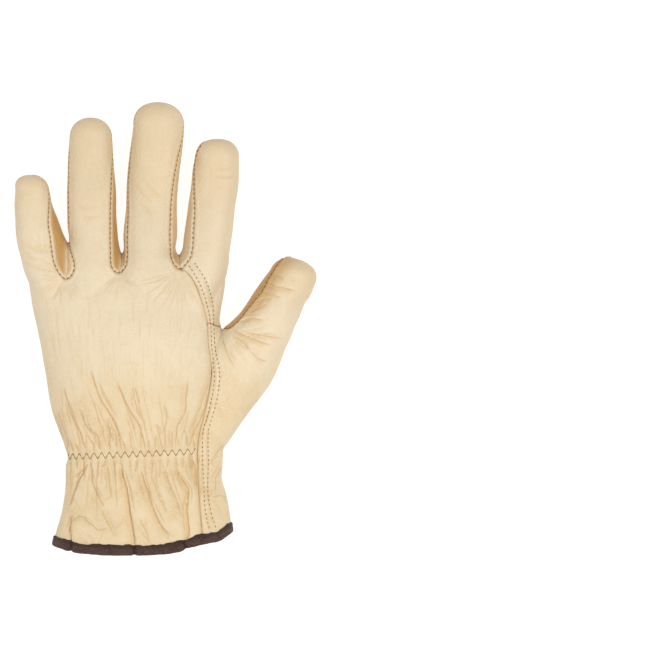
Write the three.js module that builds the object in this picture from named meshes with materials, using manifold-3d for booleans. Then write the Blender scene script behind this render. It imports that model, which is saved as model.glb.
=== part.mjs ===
// Leather driver glove for the left hand, lying palm down.
// Millimetres. +X points to the thumb side, +Y to the fingertips, +Z up, out of the back of the hand.
import * as THREE from 'three';
import { mergeVertices } from 'three/addons/utils/BufferGeometryUtils.js';
import Module from 'manifold-3d';

const wasm = await Module();
wasm.setup();

// Driving dimensions
const LEATHER = 1.4; // wall thickness of every panel
const SEAM_GAP = 0.35; // clearance between two sewn panels
const TAPE = 1.0; // thickness of the binding tape
const TAPE_GAP = 0.3; // clearance between tape and leather
const TAPE_HEIGHT = 4.3; // how far the tape covers the hem
const VENT_COVER = 1.3; // how far the tape covers each edge of the vent
const GIRTH_HEIGHT = 10; // height of the widest line of every section above the table
const BACK_POWER = 2.2; // superellipse power of the back half of a section
const PALM_POWER = 2.6; // superellipse power of the palm half of a section
const PRESS = 1.2; // how deep the palm half is pressed flat by the table
const TIP_POWER = 2.3; // superellipse power of a fingertip seen from above
const TIP_STEPS = 4; // sections that round off a fingertip
const EDGE_COLUMN = 0.985; // extra columns of the hand near its two sides
const HAND_PALM_COLUMNS = 8; // columns of the hand across its palm half
// Columns of a digit over its back and along its palm. The hollow hardly shows, and takes fewer
const FINGER_COLUMNS = { outside: [8, 6], hollow: [6, 5] };
const THUMB_COLUMNS = { outside: [12, 7], hollow: [7, 5] };
const ABOVE = 60; // height that clears the whole glove
const BELOW = -5; // height that clears the table
const FAR = 200; // distance that clears the whole glove on every side
const MERGE_DISTANCE = 1e-4; // vertices nearer than this are one

// Gathers over the hidden wrist elastic
const ELASTIC_Y = -75.5;
const GATHERS = 14;
const GATHER_DEPTH = 1.0;
const GATHER_REACH_UP = 9; // fades out towards the knuckles
const GATHER_REACH_DOWN = 16; // fades out towards the hem

// Vent in the side of the cuff, under the little finger: its top end, its height above the table, the
// width cut from the leather, the width left open between the tapes, and how far in its cutters reach
const VENT = { top: -76, height: 4.2, slit: 3.4, opening: 0.8, reach: -30 };

// Hand. Columns: y, left edge, right edge, crown height, sole height
const HAND = [
  [33, -80.5, 34.5, 16, 1.5],
  [24, -79, 35, 26, 0],
  [10, -76.5, 33, 31, 0],
  [-4, -73.5, 33.5, 34, 0],
  [-27, -69.3, 35.5, 34.5, 0],
  [-49, -65.5, 35, 31, 0],
  [-60, -61.5, 35, 29, 0],
  [-68, -58.5, 34, 27, 0],
  [-73, -57.5, 34, 25.5, 0],
  [-76, -57, 33.5, 25, 0],
  [-80, -57.5, 33.5, 25.5, 0],
  [-87, -57.5, 33, 27.5, 0],
  [-97, -58.2, 35.8, 29.5, 0.4],
  [-109, -60.5, 37.8, 31.2, 1.3],
  [-122, -64.2, 39, 32.5, 1.3],
  [-138, -66.5, 39.5, 33, 1.3],
];

// Fingers, from the last joint down to the root inside the hand.
// Columns: y, left edge, right edge, crown height, sole height
const LITTLE_FINGER = {
  tip: [-78.5, 88.5],
  rows: [
    [80, -87, -67.5, 18.5, 0],
    [71.5, -87.5, -65.5, 19, 0],
    [62.5, -87, -62, 19.5, 0],
    [53, -86.5, -58.5, 20.5, 0],
    [47, -85.5, -56, 21, 0],
    [41.5, -84, -53.5, 22, 0],
    [32, -81.5, -50.5, 23.5, 0],
    [16, -75, -48, 22, 3],
  ],
};
const RING_FINGER = {
  tip: [-43, 121.5],
  rows: [
    [109, -55, -31, 20, 0],
    [97, -56, -30, 20.5, 0],
    [81, -56.5, -28.5, 21, 0],
    [62.5, -56.5, -28, 22, 0],
    [47, -56, -26.5, 24, 0],
    [41.5, -58.5, -25, 25, 0],
    [32, -60.5, -21.5, 26, 0],
    [16, -61, -19.5, 25, 3],
  ],
};
const MIDDLE_FINGER = {
  tip: [-4, 130.5],
  rows: [
    [117, -18, 11, 21, 0],
    [106.5, -19.5, 10.5, 21.5, 0],
    [90, -21.5, 8.5, 22, 0],
    [71.5, -22.5, 7, 23, 0],
    [53, -24, 7, 24.5, 0],
    [44, -24, 6.5, 25.5, 0],
    [38, -25.5, 11, 26.5, 0],
    [32, -28, 13.5, 27, 0],
    [16, -29.5, 15, 26, 3],
  ],
};
const INDEX_FINGER = {
  tip: [30.5, 109.5],
  rows: [
    [98, 17.5, 43, 20.5, 0],
    [90, 16, 43, 21, 0],
    [81, 15, 42.5, 21.5, 0],
    [71.5, 13.5, 41, 22, 0],
    [53, 11, 39, 23.5, 0],
    [44, 9.5, 37.5, 24.5, 0],
    [38, 5.5, 37, 25, 0],
    [32, 3, 36, 25.5, 0],
    [16, 1.5, 30.5, 24, 3],
  ],
};

// Thumb, whose sections stand across its own slanted line.
// Columns: inner edge x, y; outer edge x, y; crown height, sole height
const THUMB = {
  tip: [77.5, 40.5],
  rows: [
    [61, 33.5, 87, 25, 24.5, 0],
    [56.5, 27.5, 84.5, 18.5, 26, 0],
    [51.5, 20.5, 81, 13.5, 26.5, 0],
    [47.5, 14, 78.5, 7, 27, 0],
    [43, 8, 75.5, 1, 27.5, 0],
    [37, 2, 73, -5.5, 28, 0],
    [31, -4, 70, -12, 29, 0],
    [25, -13, 66.5, -21, 29, 0],
    [20.5, -24.5, 61.5, -32, 28, 0],
    [17.5, -37.5, 55, -41, 26.5, 0],
    [16.5, -51, 47.5, -51, 25, 0],
    [16.5, -64, 38.5, -64, 21.5, 0],
    [18.5, -76, 30.5, -76, 17, 3],
  ],
};

// Folds and creases of the back. Columns: start x, y; middle x, y; end x, y; depth; half width
const FOLDS = [
  [-25.5, -78, -19.5, -105.5, -16.5, -124.5, 2.2, 3.5],
  [-14, -80.5, -6, -105.5, 4, -120.5, 1.6, 3],
  [-41, -84, -41, -90, -34, -103.5, 1.0, 2.5],
  [-43.5, -78, -48, -86, -51.5, -94, 1.2, 2.5],
  [13.5, -87.5, 13.5, -108, 12.5, -122.5, 1.8, 3],
  [0, -80.5, 4, -92, 8, -102, 1.0, 2.5],
  [-54.5, -116.5, -41, -114.5, -31.5, -114.5, 1.0, 3],
  [-42.5, -23.5, -36, -42.5, -24.5, -68.5, 1.6, 4],
  [-28, -30.5, -19, -48.5, -10.5, -68.5, 1.2, 4],
  [-56.5, -41.5, -53, -52, -46, -68.5, 1.4, 4],
  [-18, -36, -16, -44.5, -14, -52.5, 0.7, 3],
  [13, -36, 12, -49.5, 6.5, -64.5, 1.4, 4],
  [22, -51.5, 18, -59.5, 14, -66.5, 1.0, 3.5],
  [10.5, 33.5, 15.5, 17.5, 20, 4.5, 1.2, 4],
  [39, 0.5, 51.5, -5.5, 64, -9.5, 1.4, 3],
  [59.5, 26.5, 69, 23, 76.5, 22, 0.9, 2.5],
];

// Hem of the leather, from the little finger side to the thumb side. Columns: x, y
const HEM = [
  [-90, -118],
  [-72, -123.5],
  [-62, -126.5],
  [-54, -128.3],
  [-40, -129.6],
  [-23, -130.2],
  [-6, -130],
  [9, -128.3],
  [16, -125.5],
  [27, -123],
  [35, -119],
  [39, -116.5],
  [60, -104],
];

// Seams of the back side, seen from above. Columns: x, y
const BACK_SEAMS = {
  littleFinger: [
    [-78, 84], [-72.5, 82], [-69, 75], [-67.5, 65], [-66, 53], [-64, 41], [-61, 33], [-57, 28],
  ],
  ringFinger: [
    [-57, 28], [-53, 31], [-52, 36], [-52.5, 44], [-54, 58], [-54, 82], [-52.5, 107], [-50, 114.5],
    [-43, 119], [-36, 114.5], [-33.5, 106.5], [-31.5, 86], [-31, 65], [-31, 41], [-29.5, 35], [-26.5, 31.5],
  ],
  middleFinger: [
    [-26.5, 31.5], [-23, 33.5], [-21.5, 39], [-21.5, 55], [-20, 77], [-17, 105], [-15.5, 116],
    [-12, 123.5], [-4, 128], [4.5, 123.5], [8, 116.5], [7.5, 104], [5, 82.5], [3.5, 56], [4, 42.5],
    [6.5, 36.5], [9.5, 33.5],
  ],
  lapped: [
    [9.5, 33.5], [14, 29], [19.5, 21], [23.5, 10], [25, 3], [25.8, -8], [27.5, -25], [26, -37], [22.5, -53],
    [20, -64], [19.5, -84], [20.5, -100], [24, -136],
  ],
  thumb: [
    [25, 3], [28.5, 1.5], [31.5, -4.5], [35, -7], [38.5, -5.5], [43, 2.5], [51, 13.5], [60, 26.5], [65, 31],
    [72.5, 34],
  ],
  crotchLittle: [[-57, 27.5], [-56, 33], [-56, 45.5], [-57.5, 54]],
  crotchRing: [[-26.5, 31], [-25, 36], [-25, 48]],
  crotchMiddle: [[9.5, 33], [9, 38], [8, 43], [8, 51]],
};

// Seams of the palm side, seen through the glove from above. Columns: x, y
const PALM_SEAMS = {
  outerEdge: [
    [-78, 84], [-82.5, 82], [-84.8, 76.5], [-84.9, 64], [-83, 48.5], [-77.5, 27.5], [-71.5, 1.5],
    [-66, -30.5], [-62.5, -48], [-59, -60], [-56, -67.5], [-53.2, -74.5], [-53, -79],
  ],
  fingerBase: [
    [-56, 33.5], [-52, 29], [-45.5, 26], [-39, 25.5], [-24.5, 29], [-6, 29.5], [1, 30], [5.5, 33],
    [9, 37.5],
  ],
  thumb: [
    [72.5, 34], [77, 36], [81.5, 33.5], [84, 29], [83.5, 22], [79.5, 14.5], [72.5, 1], [67, -12.5],
    [61.8, -26], [56.3, -35], [45.5, -48], [35.4, -61], [30.2, -72], [27.5, -84], [27.3, -97], [31.5, -136],
  ],
  crotchLittle: [[-56, 32.5], [-56, 45.5], [-57.5, 54]],
  crotchRing: [[-24.5, 28], [-25, 36], [-25, 48]],
  crotchMiddle: [[8.5, 36], [9, 38], [8, 43], [8, 51]],
};

// Where a side seam turns over a fingertip. Columns: outside x, y; inside x, y
const TIP_CROSSINGS = [
  [-78.8, 93, -78, 83],
  [77.5, 46, 72.5, 33.5],
];

// A point on each panel, which tells the cut bodies apart
const PANELS = [
  { name: 'back_panel', seed: [-15, -20, 34], colour: 0xe9d5b2 },
  { name: 'palm_panel', seed: [-15, -40, 0], colour: 0xead8b7 },
  { name: 'ring_finger_front', seed: [-43, 80, 0], colour: 0xead0a8 },
  { name: 'middle_finger_front', seed: [-7, 90, 0], colour: 0xedd5af },
  { name: 'thumb_panel', seed: [58, 0, 27], colour: 0xecdabb },
];
const LEATHER_ROUGHNESS = 0.72;
const TAPE_COLOUR = 0x62493d;
const TAPE_ROUGHNESS = 0.9;

// Height of a superellipse of radius 1 at a place across it
function superellipse(across, power) {
  return Math.pow(Math.max(0, 1 - Math.pow(Math.abs(across), power)), 1 / power);
}

// Distance from a point to a chain of straight stretches
function distanceTo(chain, x, y) {
  let nearest = Infinity;
  for (let i = 0; i + 1 < chain.length; i += 1) {
    const [ax, ay] = chain[i];
    const [bx, by] = chain[i + 1];
    const along = ((x - ax) * (bx - ax) + (y - ay) * (by - ay)) / ((bx - ax) ** 2 + (by - ay) ** 2);
    const t = Math.min(1, Math.max(0, along));
    nearest = Math.min(nearest, Math.hypot(x - ax - t * (bx - ax), y - ay - t * (by - ay)));
  }
  return nearest;
}

// How far the folds lower the back at a place
function foldDepth(x, y) {
  let depth = 0;
  for (const [x1, y1, x2, y2, x3, y3, deep, half] of FOLDS) {
    const away = distanceTo([[x1, y1], [x2, y2], [x3, y3]], x, y);
    depth += deep * Math.exp(-((away / half) ** 2));
  }
  return depth;
}

// How strongly the elastic gathers the back at a place along the hand
function gatherStrength(y) {
  const away = y - ELASTIC_Y;
  const reach = away > 0 ? GATHER_REACH_UP : GATHER_REACH_DOWN;
  return GATHER_DEPTH * Math.exp(-((away / reach) ** 2));
}

// Columns of the hand: over the back one crest and one trough for each gather, and home along the palm
function handColumns() {
  const onBack = GATHERS * 2;
  const list = [{ across: -1, back: true }, { across: -EDGE_COLUMN, back: true }];
  for (let i = 0; i < onBack; i += 1) {
    list.push({ across: -1 + (2 * i + 1) / onBack, back: true, gather: i % 2 === 1 ? 1 : -1 });
  }
  list.push({ across: EDGE_COLUMN, back: true }, { across: 1, back: true });
  for (let i = 1; i < HAND_PALM_COLUMNS; i += 1) {
    list.push({ across: Math.cos((Math.PI * i) / HAND_PALM_COLUMNS), back: false });
  }
  return list;
}

// Columns of a digit, evenly spread round the section
function roundColumns(onBack, onPalm) {
  const list = [];
  for (let i = 0; i <= onBack; i += 1) {
    list.push({ across: -Math.cos((Math.PI * i) / onBack), back: true });
  }
  for (let i = 1; i < onPalm; i += 1) {
    list.push({ across: Math.cos((Math.PI * i) / onPalm), back: false });
  }
  return list;
}

// One section as a ring of points, moved inwards by inset
function ringOf(row, around, inset) {
  const left = new THREE.Vector2(...row.left);
  const right = new THREE.Vector2(...row.right);
  const width = left.distanceTo(right);
  return around.map(({ across, back, gather = 0 }) => {
    const share = 0.5 + across * (0.5 - inset / width);
    const x = left.x + (right.x - left.x) * share;
    const y = left.y + (right.y - left.y) * share;
    const power = back ? BACK_POWER : PALM_POWER;
    const rise = superellipse(across, power);
    if (!back) {
      const drop = (GIRTH_HEIGHT - row.sole - inset + PRESS) * rise;
      return [x, y, Math.max(row.sole + inset, GIRTH_HEIGHT - drop)];
    }
    const relief = gather * gatherStrength(y) - foldDepth(x, y);
    return [x, y, GIRTH_HEIGHT + (row.crown - inset - GIRTH_HEIGHT) * rise + relief * rise * rise];
  });
}

// Sections that round off a digit from its first row to its tip, the last one shrunk to a point
function tipRows(first, tip, inset) {
  const left = new THREE.Vector2(...first.left);
  const right = new THREE.Vector2(...first.right);
  const middle = left.clone().lerp(right, 0.5);
  const forward = new THREE.Vector2(...tip).sub(middle);
  forward.setLength(forward.length() - inset);
  const rows = [];
  for (let i = TIP_STEPS - 1; i >= 1; i -= 1) {
    const along = Math.sin((Math.PI / 2) * (i / TIP_STEPS));
    const scale = superellipse(along, TIP_POWER);
    const shift = forward.clone().multiplyScalar(along);
    rows.push({
      left: middle.clone().lerp(left, scale).add(shift).toArray(),
      right: middle.clone().lerp(right, scale).add(shift).toArray(),
      crown: GIRTH_HEIGHT + (first.crown - GIRTH_HEIGHT) * scale,
      sole: GIRTH_HEIGHT - (GIRTH_HEIGHT - first.sole) * scale,
      inset: inset * scale,
    });
  }
  return { rows, apex: [...middle.add(forward).toArray(), GIRTH_HEIGHT] };
}

// Closed body through a list of rings, ended by a point or by a flat cap round its middle
function loft(rings, apex) {
  const count = rings[0].length;
  const points = rings.flat();
  const middle = (ring) => [0, 1, 2].map((axis) => ring.reduce((sum, p) => sum + p[axis], 0) / count);
  const first = points.push(apex || middle(rings[0])) - 1;
  const last = points.push(middle(rings[rings.length - 1])) - 1;
  const faces = [];
  for (let j = 0; j < count; j += 1) {
    const next = (j + 1) % count;
    faces.push([first, j, next]);
    faces.push([last, (rings.length - 1) * count + next, (rings.length - 1) * count + j]);
    for (let i = 0; i + 1 < rings.length; i += 1) {
      const a = i * count + j;
      const b = i * count + next;
      faces.push([a, a + count, b]);
      faces.push([b, a + count, b + count]);
    }
  }
  return toSolid(points.flat(), faces.flat());
}

// Solid from a closed mesh whose shared vertices are merged
function toSolid(positions, indices) {
  const mesh = new wasm.Mesh({
    numProp: 3,
    vertProperties: Float32Array.from(positions),
    triVerts: Uint32Array.from(indices),
  });
  return new wasm.Manifold(mesh);
}

// Hand from a given row to past the hem, grown or shrunk by inset, with its gathers and folds
function handBody(inset, firstRow = 0) {
  const around = handColumns();
  const rings = HAND.slice(firstRow).map(([y, left, right, crown, sole]) =>
    ringOf({ left: [left, y], right: [right, y], crown, sole }, around, inset));
  return loft(rings, null);
}

// Finger or thumb, shrunk by inset
function digitBody(tip, rows, inset, around) {
  const end = tipRows(rows[0], tip, inset);
  const rings = end.rows.map((row) => ringOf(row, around, row.inset));
  rings.push(...rows.map((row) => ringOf(row, around, inset)));
  return loft(rings, end.apex);
}

function fingerBody(finger, inset) {
  const rows = finger.rows.map(([y, left, right, crown, sole]) =>
    ({ left: [left, y], right: [right, y], crown, sole }));
  const { outside, hollow } = FINGER_COLUMNS;
  return digitBody(finger.tip, rows, inset, roundColumns(...(inset > 0 ? hollow : outside)));
}

function thumbBody(inset) {
  const rows = THUMB.rows.map(([ax, ay, bx, by, crown, sole]) =>
    ({ left: [ax, ay], right: [bx, by], crown, sole }));
  const { outside, hollow } = THUMB_COLUMNS;
  return digitBody(THUMB.tip, rows, inset, roundColumns(...(inset > 0 ? hollow : outside)));
}

// Whole glove without its hollow, or the hollow itself when inset by the leather
function gloveBody(inset) {
  let body = handBody(inset).add(thumbBody(inset));
  for (const finger of [LITTLE_FINGER, RING_FINGER, MIDDLE_FINGER, INDEX_FINGER]) {
    body = body.add(fingerBody(finger, inset));
  }
  return body;
}

// Upright prism over an outline seen from above
function uprightPrism(outline, bottom, top) {
  const shape = new THREE.Shape(outline.map(([x, y]) => new THREE.Vector2(x, y)));
  const geometry = new THREE.ExtrudeGeometry(shape, { depth: top - bottom, bevelEnabled: false });
  geometry.translate(0, 0, bottom);
  return geometrySolid(geometry);
}

// Prism along X over an outline of y and z
function sidewaysPrism(outline, from, to) {
  const shape = new THREE.Shape(outline.map(([y, z]) => new THREE.Vector2(y, z)));
  const geometry = new THREE.ExtrudeGeometry(shape, { depth: to - from, bevelEnabled: false });
  geometry.translate(0, 0, from);
  const turn = new THREE.Matrix4().makeBasis(
    new THREE.Vector3(0, 1, 0), new THREE.Vector3(0, 0, 1), new THREE.Vector3(1, 0, 0));
  geometry.applyMatrix4(turn);
  return geometrySolid(geometry);
}

// Solid from a closed three.js geometry
function geometrySolid(geometry) {
  geometry.deleteAttribute('normal');
  geometry.deleteAttribute('uv');
  const merged = mergeVertices(geometry, MERGE_DISTANCE);
  return toSolid(merged.attributes.position.array, merged.index.array);
}

// Thin upright wall along a line through the given points
function ribbon(points, bottom, top) {
  const line = points.map(([x, y]) => new THREE.Vector2(x, y));
  const leftSide = [];
  const rightSide = [];
  line.forEach((point, i) => {
    const before = line[Math.max(0, i - 1)];
    const after = line[Math.min(line.length - 1, i + 1)];
    const along = after.clone().sub(before).normalize();
    leftSide.push([point.x - (along.y * SEAM_GAP) / 2, point.y + (along.x * SEAM_GAP) / 2]);
    rightSide.unshift([point.x + (along.y * SEAM_GAP) / 2, point.y - (along.x * SEAM_GAP) / 2]);
  });
  return uprightPrism([...leftSide, ...rightSide], bottom, top);
}

// Everything on the finger side of the hem, the hem moved towards the wrist by shift
function aboveHem(shift) {
  const edge = HEM.map(([x, y]) => [x, y - shift]);
  const firstY = edge[0][1];
  const lastY = edge[edge.length - 1][1];
  const far = [[FAR, lastY], [FAR, FAR], [-FAR, FAR], [-FAR, firstY]];
  return uprightPrism([...edge, ...far], BELOW, ABOVE);
}

// Slot through the outer side of the cuff, from above the top of the vent past the hem
function ventSlot(width, above) {
  const half = width / 2;
  const outline = [
    [-FAR, VENT.height - half],
    [VENT.top + above - half, VENT.height - half],
    [VENT.top + above, VENT.height],
    [VENT.top + above - half, VENT.height + half],
    [-FAR, VENT.height + half],
  ];
  return sidewaysPrism(outline, -FAR, VENT.reach);
}

// Hollow leather glove, cut along its seams
function leatherBodies() {
  let leather = gloveBody(0).intersect(aboveHem(0)).subtract(gloveBody(LEATHER));
  leather = leather.subtract(ventSlot(VENT.slit, 0));
  for (const seam of Object.values(BACK_SEAMS)) {
    leather = leather.subtract(ribbon(seam, GIRTH_HEIGHT, ABOVE));
  }
  for (const seam of Object.values(PALM_SEAMS)) {
    leather = leather.subtract(ribbon(seam, BELOW, GIRTH_HEIGHT));
  }
  for (const [ox, oy, ix, iy] of TIP_CROSSINGS) {
    leather = leather.subtract(ribbon([[ox, oy], [ix, iy]], BELOW, ABOVE));
  }
  return leather.decompose();
}

// Tape folded over the hem and over both edges of the vent
function bindingBody() {
  const cuff = HAND.findIndex(([y]) => y <= ELASTIC_Y) - 1;
  const layer = (outside) =>
    handBody(-outside, cuff).subtract(handBody(LEATHER + outside, cuff));
  const hemBand = aboveHem(TAPE_GAP + TAPE).subtract(aboveHem(-TAPE_HEIGHT));
  const ventBand = ventSlot(VENT.slit + 2 * VENT_COVER, VENT_COVER).intersect(aboveHem(TAPE_GAP + TAPE));
  const ventRoom = ventSlot(VENT.slit - 2 * TAPE_GAP, -TAPE_GAP);
  const room = layer(TAPE_GAP).intersect(aboveHem(TAPE_GAP)).subtract(ventRoom);
  const tape = layer(TAPE_GAP + TAPE).intersect(hemBand.add(ventBand));
  return tape.subtract(room).subtract(ventSlot(VENT.opening, -TAPE_GAP - TAPE));
}

// Body of the list with a vertex nearest to a seed point
function bodyAt(bodies, seed) {
  let best = null;
  let nearest = Infinity;
  for (const body of bodies) {
    const { vertProperties } = body.getMesh();
    for (let i = 0; i < vertProperties.length; i += 3) {
      const away = Math.hypot(
        vertProperties[i] - seed[0], vertProperties[i + 1] - seed[1], vertProperties[i + 2] - seed[2]);
      if (away < nearest) {
        nearest = away;
        best = body;
      }
    }
  }
  return best;
}

// Named mesh of a solid in its own material
function meshOf(name, body, colour, roughness) {
  const { vertProperties, triVerts } = body.getMesh();
  const geometry = new THREE.BufferGeometry();
  geometry.setAttribute('position', new THREE.BufferAttribute(Float32Array.from(vertProperties), 3));
  geometry.setIndex(new THREE.BufferAttribute(Uint32Array.from(triVerts), 1));
  geometry.computeVertexNormals();
  const material = new THREE.MeshStandardMaterial({ color: colour, roughness, metalness: 0 });
  const mesh = new THREE.Mesh(geometry, material);
  mesh.name = name;
  return mesh;
}

const group = new THREE.Group();
const bodies = leatherBodies();
for (const { name, seed, colour } of PANELS) {
  group.add(meshOf(name, bodyAt(bodies, seed), colour, LEATHER_ROUGHNESS));
}
group.add(meshOf('cuff_binding', bindingBody(), TAPE_COLOUR, TAPE_ROUGHNESS));

// The origin lies under the middle of the glove's outline
const footprint = new THREE.Box3().setFromObject(group);
const centre = footprint.getCenter(new THREE.Vector3());
group.position.set(-centre.x, -centre.y, 0);

export default group;
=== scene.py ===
import math

import bpy
import numpy as np
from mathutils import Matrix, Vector
from mathutils.bvhtree import BVHTree


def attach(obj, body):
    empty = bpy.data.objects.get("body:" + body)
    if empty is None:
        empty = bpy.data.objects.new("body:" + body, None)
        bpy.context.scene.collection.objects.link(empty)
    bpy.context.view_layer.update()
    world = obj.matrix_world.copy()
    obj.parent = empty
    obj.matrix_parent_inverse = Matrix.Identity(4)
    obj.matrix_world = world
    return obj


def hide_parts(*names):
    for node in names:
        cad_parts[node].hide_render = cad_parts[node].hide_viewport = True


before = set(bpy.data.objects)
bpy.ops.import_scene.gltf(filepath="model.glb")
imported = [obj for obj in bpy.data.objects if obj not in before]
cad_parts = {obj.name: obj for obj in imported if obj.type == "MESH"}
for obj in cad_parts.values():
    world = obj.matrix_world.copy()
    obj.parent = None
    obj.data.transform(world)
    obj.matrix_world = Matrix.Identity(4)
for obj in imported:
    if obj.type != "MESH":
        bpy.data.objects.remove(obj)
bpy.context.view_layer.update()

# Driving dimensions, in millimetres
METRE = 1000.0
ORIGIN_SHIFT = np.array([-0.1, 0.5, 0.0])  # from the tables below to the frame, whose origin is central
LEATHER = 1.3  # thickness of the leather
GIRTH_HEIGHT = 10.0  # height of the widest line of every section above the table
BACK_FROM = GIRTH_HEIGHT - 2  # height from which the folds and gathers of the back are laid
BACK_POWER = 2.2  # superellipse power of the back half of a section
PALM_POWER = 2.6  # superellipse power of the palm half of a section
PRESS = 1.2  # how deep the palm half is pressed flat by the table
TIP_POWER = 2.3  # superellipse power of a fingertip seen from above
TIP_STEPS = 16  # sections that round off a fingertip
TIP_LEAST = 0.02  # size of the outermost of them, as a share of the digit where its tip begins
AROUND = 96  # points round a section
ALONG = 1.5  # distance between two sections
VOXEL = 0.72  # grain of the outer skin
RELAX_ROUNDS = 6
PULLS = (0.5, -0.52)  # each round draws the points together, and then swells the body back
KNUCKLES = {"y": 20, "width": 13, "from": 17, "to": 21, "right": 30, "rounds": 40}  # relaxed for longer
INNER_SHARE = 0.1  # share of the outer skin's triangles that the inner skin keeps
ABOVE = 80.0  # height that clears the whole glove
FAR = 200.0  # distance that clears the whole glove on every side
SEED = 11  # start of every random draw

# Cuff
ELASTIC_Y = -73.2  # the hidden elastic, sewn with a zigzag
VENT = {"top": -76.0, "height": 4.2, "slit": 3.4, "reach": -30.0, "corner": 2.5, "end": 1.5, "taper": 4}
TAPE_COVER = 5.2  # how far the tape covers the hem
VENT_COVER = 1.4  # how far it covers each edge of the vent

# Hand. Columns: y, left edge, right edge, crown height, sole height
HAND = [
    (34.5, -80.5, 34.5, 15, 1.5),
    (32, -80, 34.7, 21.5, 0.8),
    (28, -79.3, 35, 25.5, 0),
    (20, -78.2, 34.2, 28.8, 0),
    (10, -76.5, 32.4, 31.2, 0),
    (3, -75, 31.6, 32.8, 0),
    (-4, -73.5, 33.4, 33.8, 0),
    (-27, -69.3, 35.5, 34.5, 0),
    (-49, -65.5, 35, 31, 0),
    (-60, -61.5, 35, 29, 0),
    (-68, -58.5, 34, 27, 0),
    (-73, -57.5, 34, 25.5, 0),
    (-76, -57, 33.5, 25, 0),
    (-80, -57.5, 33.5, 25.5, 0),
    (-87, -57.5, 33, 27.5, 0),
    (-97, -58.2, 35.8, 29.5, 0.4),
    (-109, -60.5, 37.8, 31.2, 1.3),
    (-122, -64.2, 39, 32.5, 1.3),
    (-138, -66.5, 39.5, 33, 1.3),
]

# Fingers, each with its tip and its sections. Columns: y, left edge, right edge, crown, sole
FINGERS = {
    "little": ((-78.5, 88.5), [
        (80, -87, -67.5, 18.5, 0),
        (71.5, -87.5, -65.5, 19, 0),
        (62.5, -87, -62, 19.5, 0),
        (53, -86.5, -58.5, 20.5, 0),
        (47, -85.5, -56, 21, 0),
        (41.5, -84, -53.5, 22, 0),
        (32, -81.5, -50.5, 23.8, 0),
        (20, -76.5, -48.5, 23.5, 2),
        (8, -73, -46, 22, 3),
    ]),
    "ring": ((-43, 121.5), [
        (109, -55, -31, 20, 0),
        (97, -56, -30, 20.5, 0),
        (81, -56.5, -28.5, 21, 0),
        (62.5, -56.5, -28, 22, 0),
        (47, -56, -26.5, 24, 0),
        (41.5, -58.5, -25, 25, 0),
        (32, -60.5, -21.5, 26.8, 0),
        (20, -61, -20, 28.2, 2),
        (8, -60, -19, 29.2, 3),
    ]),
    "middle": ((-4, 130.5), [
        (117, -18, 11, 21, 0),
        (106.5, -19.5, 10.5, 21.5, 0),
        (90, -21.5, 8.5, 22, 0),
        (71.5, -22.5, 7, 23, 0),
        (53, -24, 7, 24.5, 0),
        (44, -24, 6.5, 25.5, 0),
        (38, -25.5, 11, 26.6, 0),
        (32, -28, 13.5, 27.4, 0),
        (20, -29.5, 15, 28.8, 2),
        (8, -29, 14, 29.8, 3),
    ]),
    "index": ((30.5, 109.5), [
        (98, 17.5, 43, 20.5, 0),
        (90, 16, 43, 21, 0),
        (81, 15, 42.5, 21.5, 0),
        (71.5, 13.5, 41, 22, 0),
        (53, 11, 39, 23.5, 0),
        (44, 9.5, 37.5, 24.5, 0),
        (38, 5.5, 37, 25, 0),
        (32, 3, 36, 25.6, 0),
        (20, 1.5, 31.5, 26, 2),
        (8, 0, 29, 25.5, 3),
    ]),
}

# Thumb. Columns: inner edge x, y; outer edge x, y; crown height, sole height
THUMB = ((78.2, 39.3), [
    (61, 33.5, 87, 25, 24.5, 0),
    (56.5, 27.5, 84.5, 18.5, 26, 0),
    (51.5, 20.5, 81, 13.5, 26.5, 0),
    (47.5, 14, 78.5, 7, 27, 0),
    (43, 8, 75.5, 1, 27.5, 0),
    (37, 2, 73, -5.5, 28, 0),
    (31, -4, 70, -12, 29, 0),
    (25, -13, 66.5, -21, 29, 0),
    (20.5, -24.5, 61.5, -32, 28, 0),
    (17.5, -37.5, 55, -41, 26.5, 0),
    (16.5, -51, 47.5, -51, 25, 0),
    (16.5, -64, 38.5, -64, 21.5, 0),
    (18.5, -76, 30.5, -76, 17, 3),
])

# Hem of the leather, from the little finger side to the thumb side. Columns: x, y
HEM = [
    (-90, -118), (-72, -123.5), (-62, -126.3), (-54, -128.7), (-41, -130), (-23, -130.5), (-6, -130.2),
    (8, -128.7), (15.5, -126), (27, -123.6), (33, -122), (37.5, -118.8), (41, -115.5), (60, -104),
]

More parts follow.
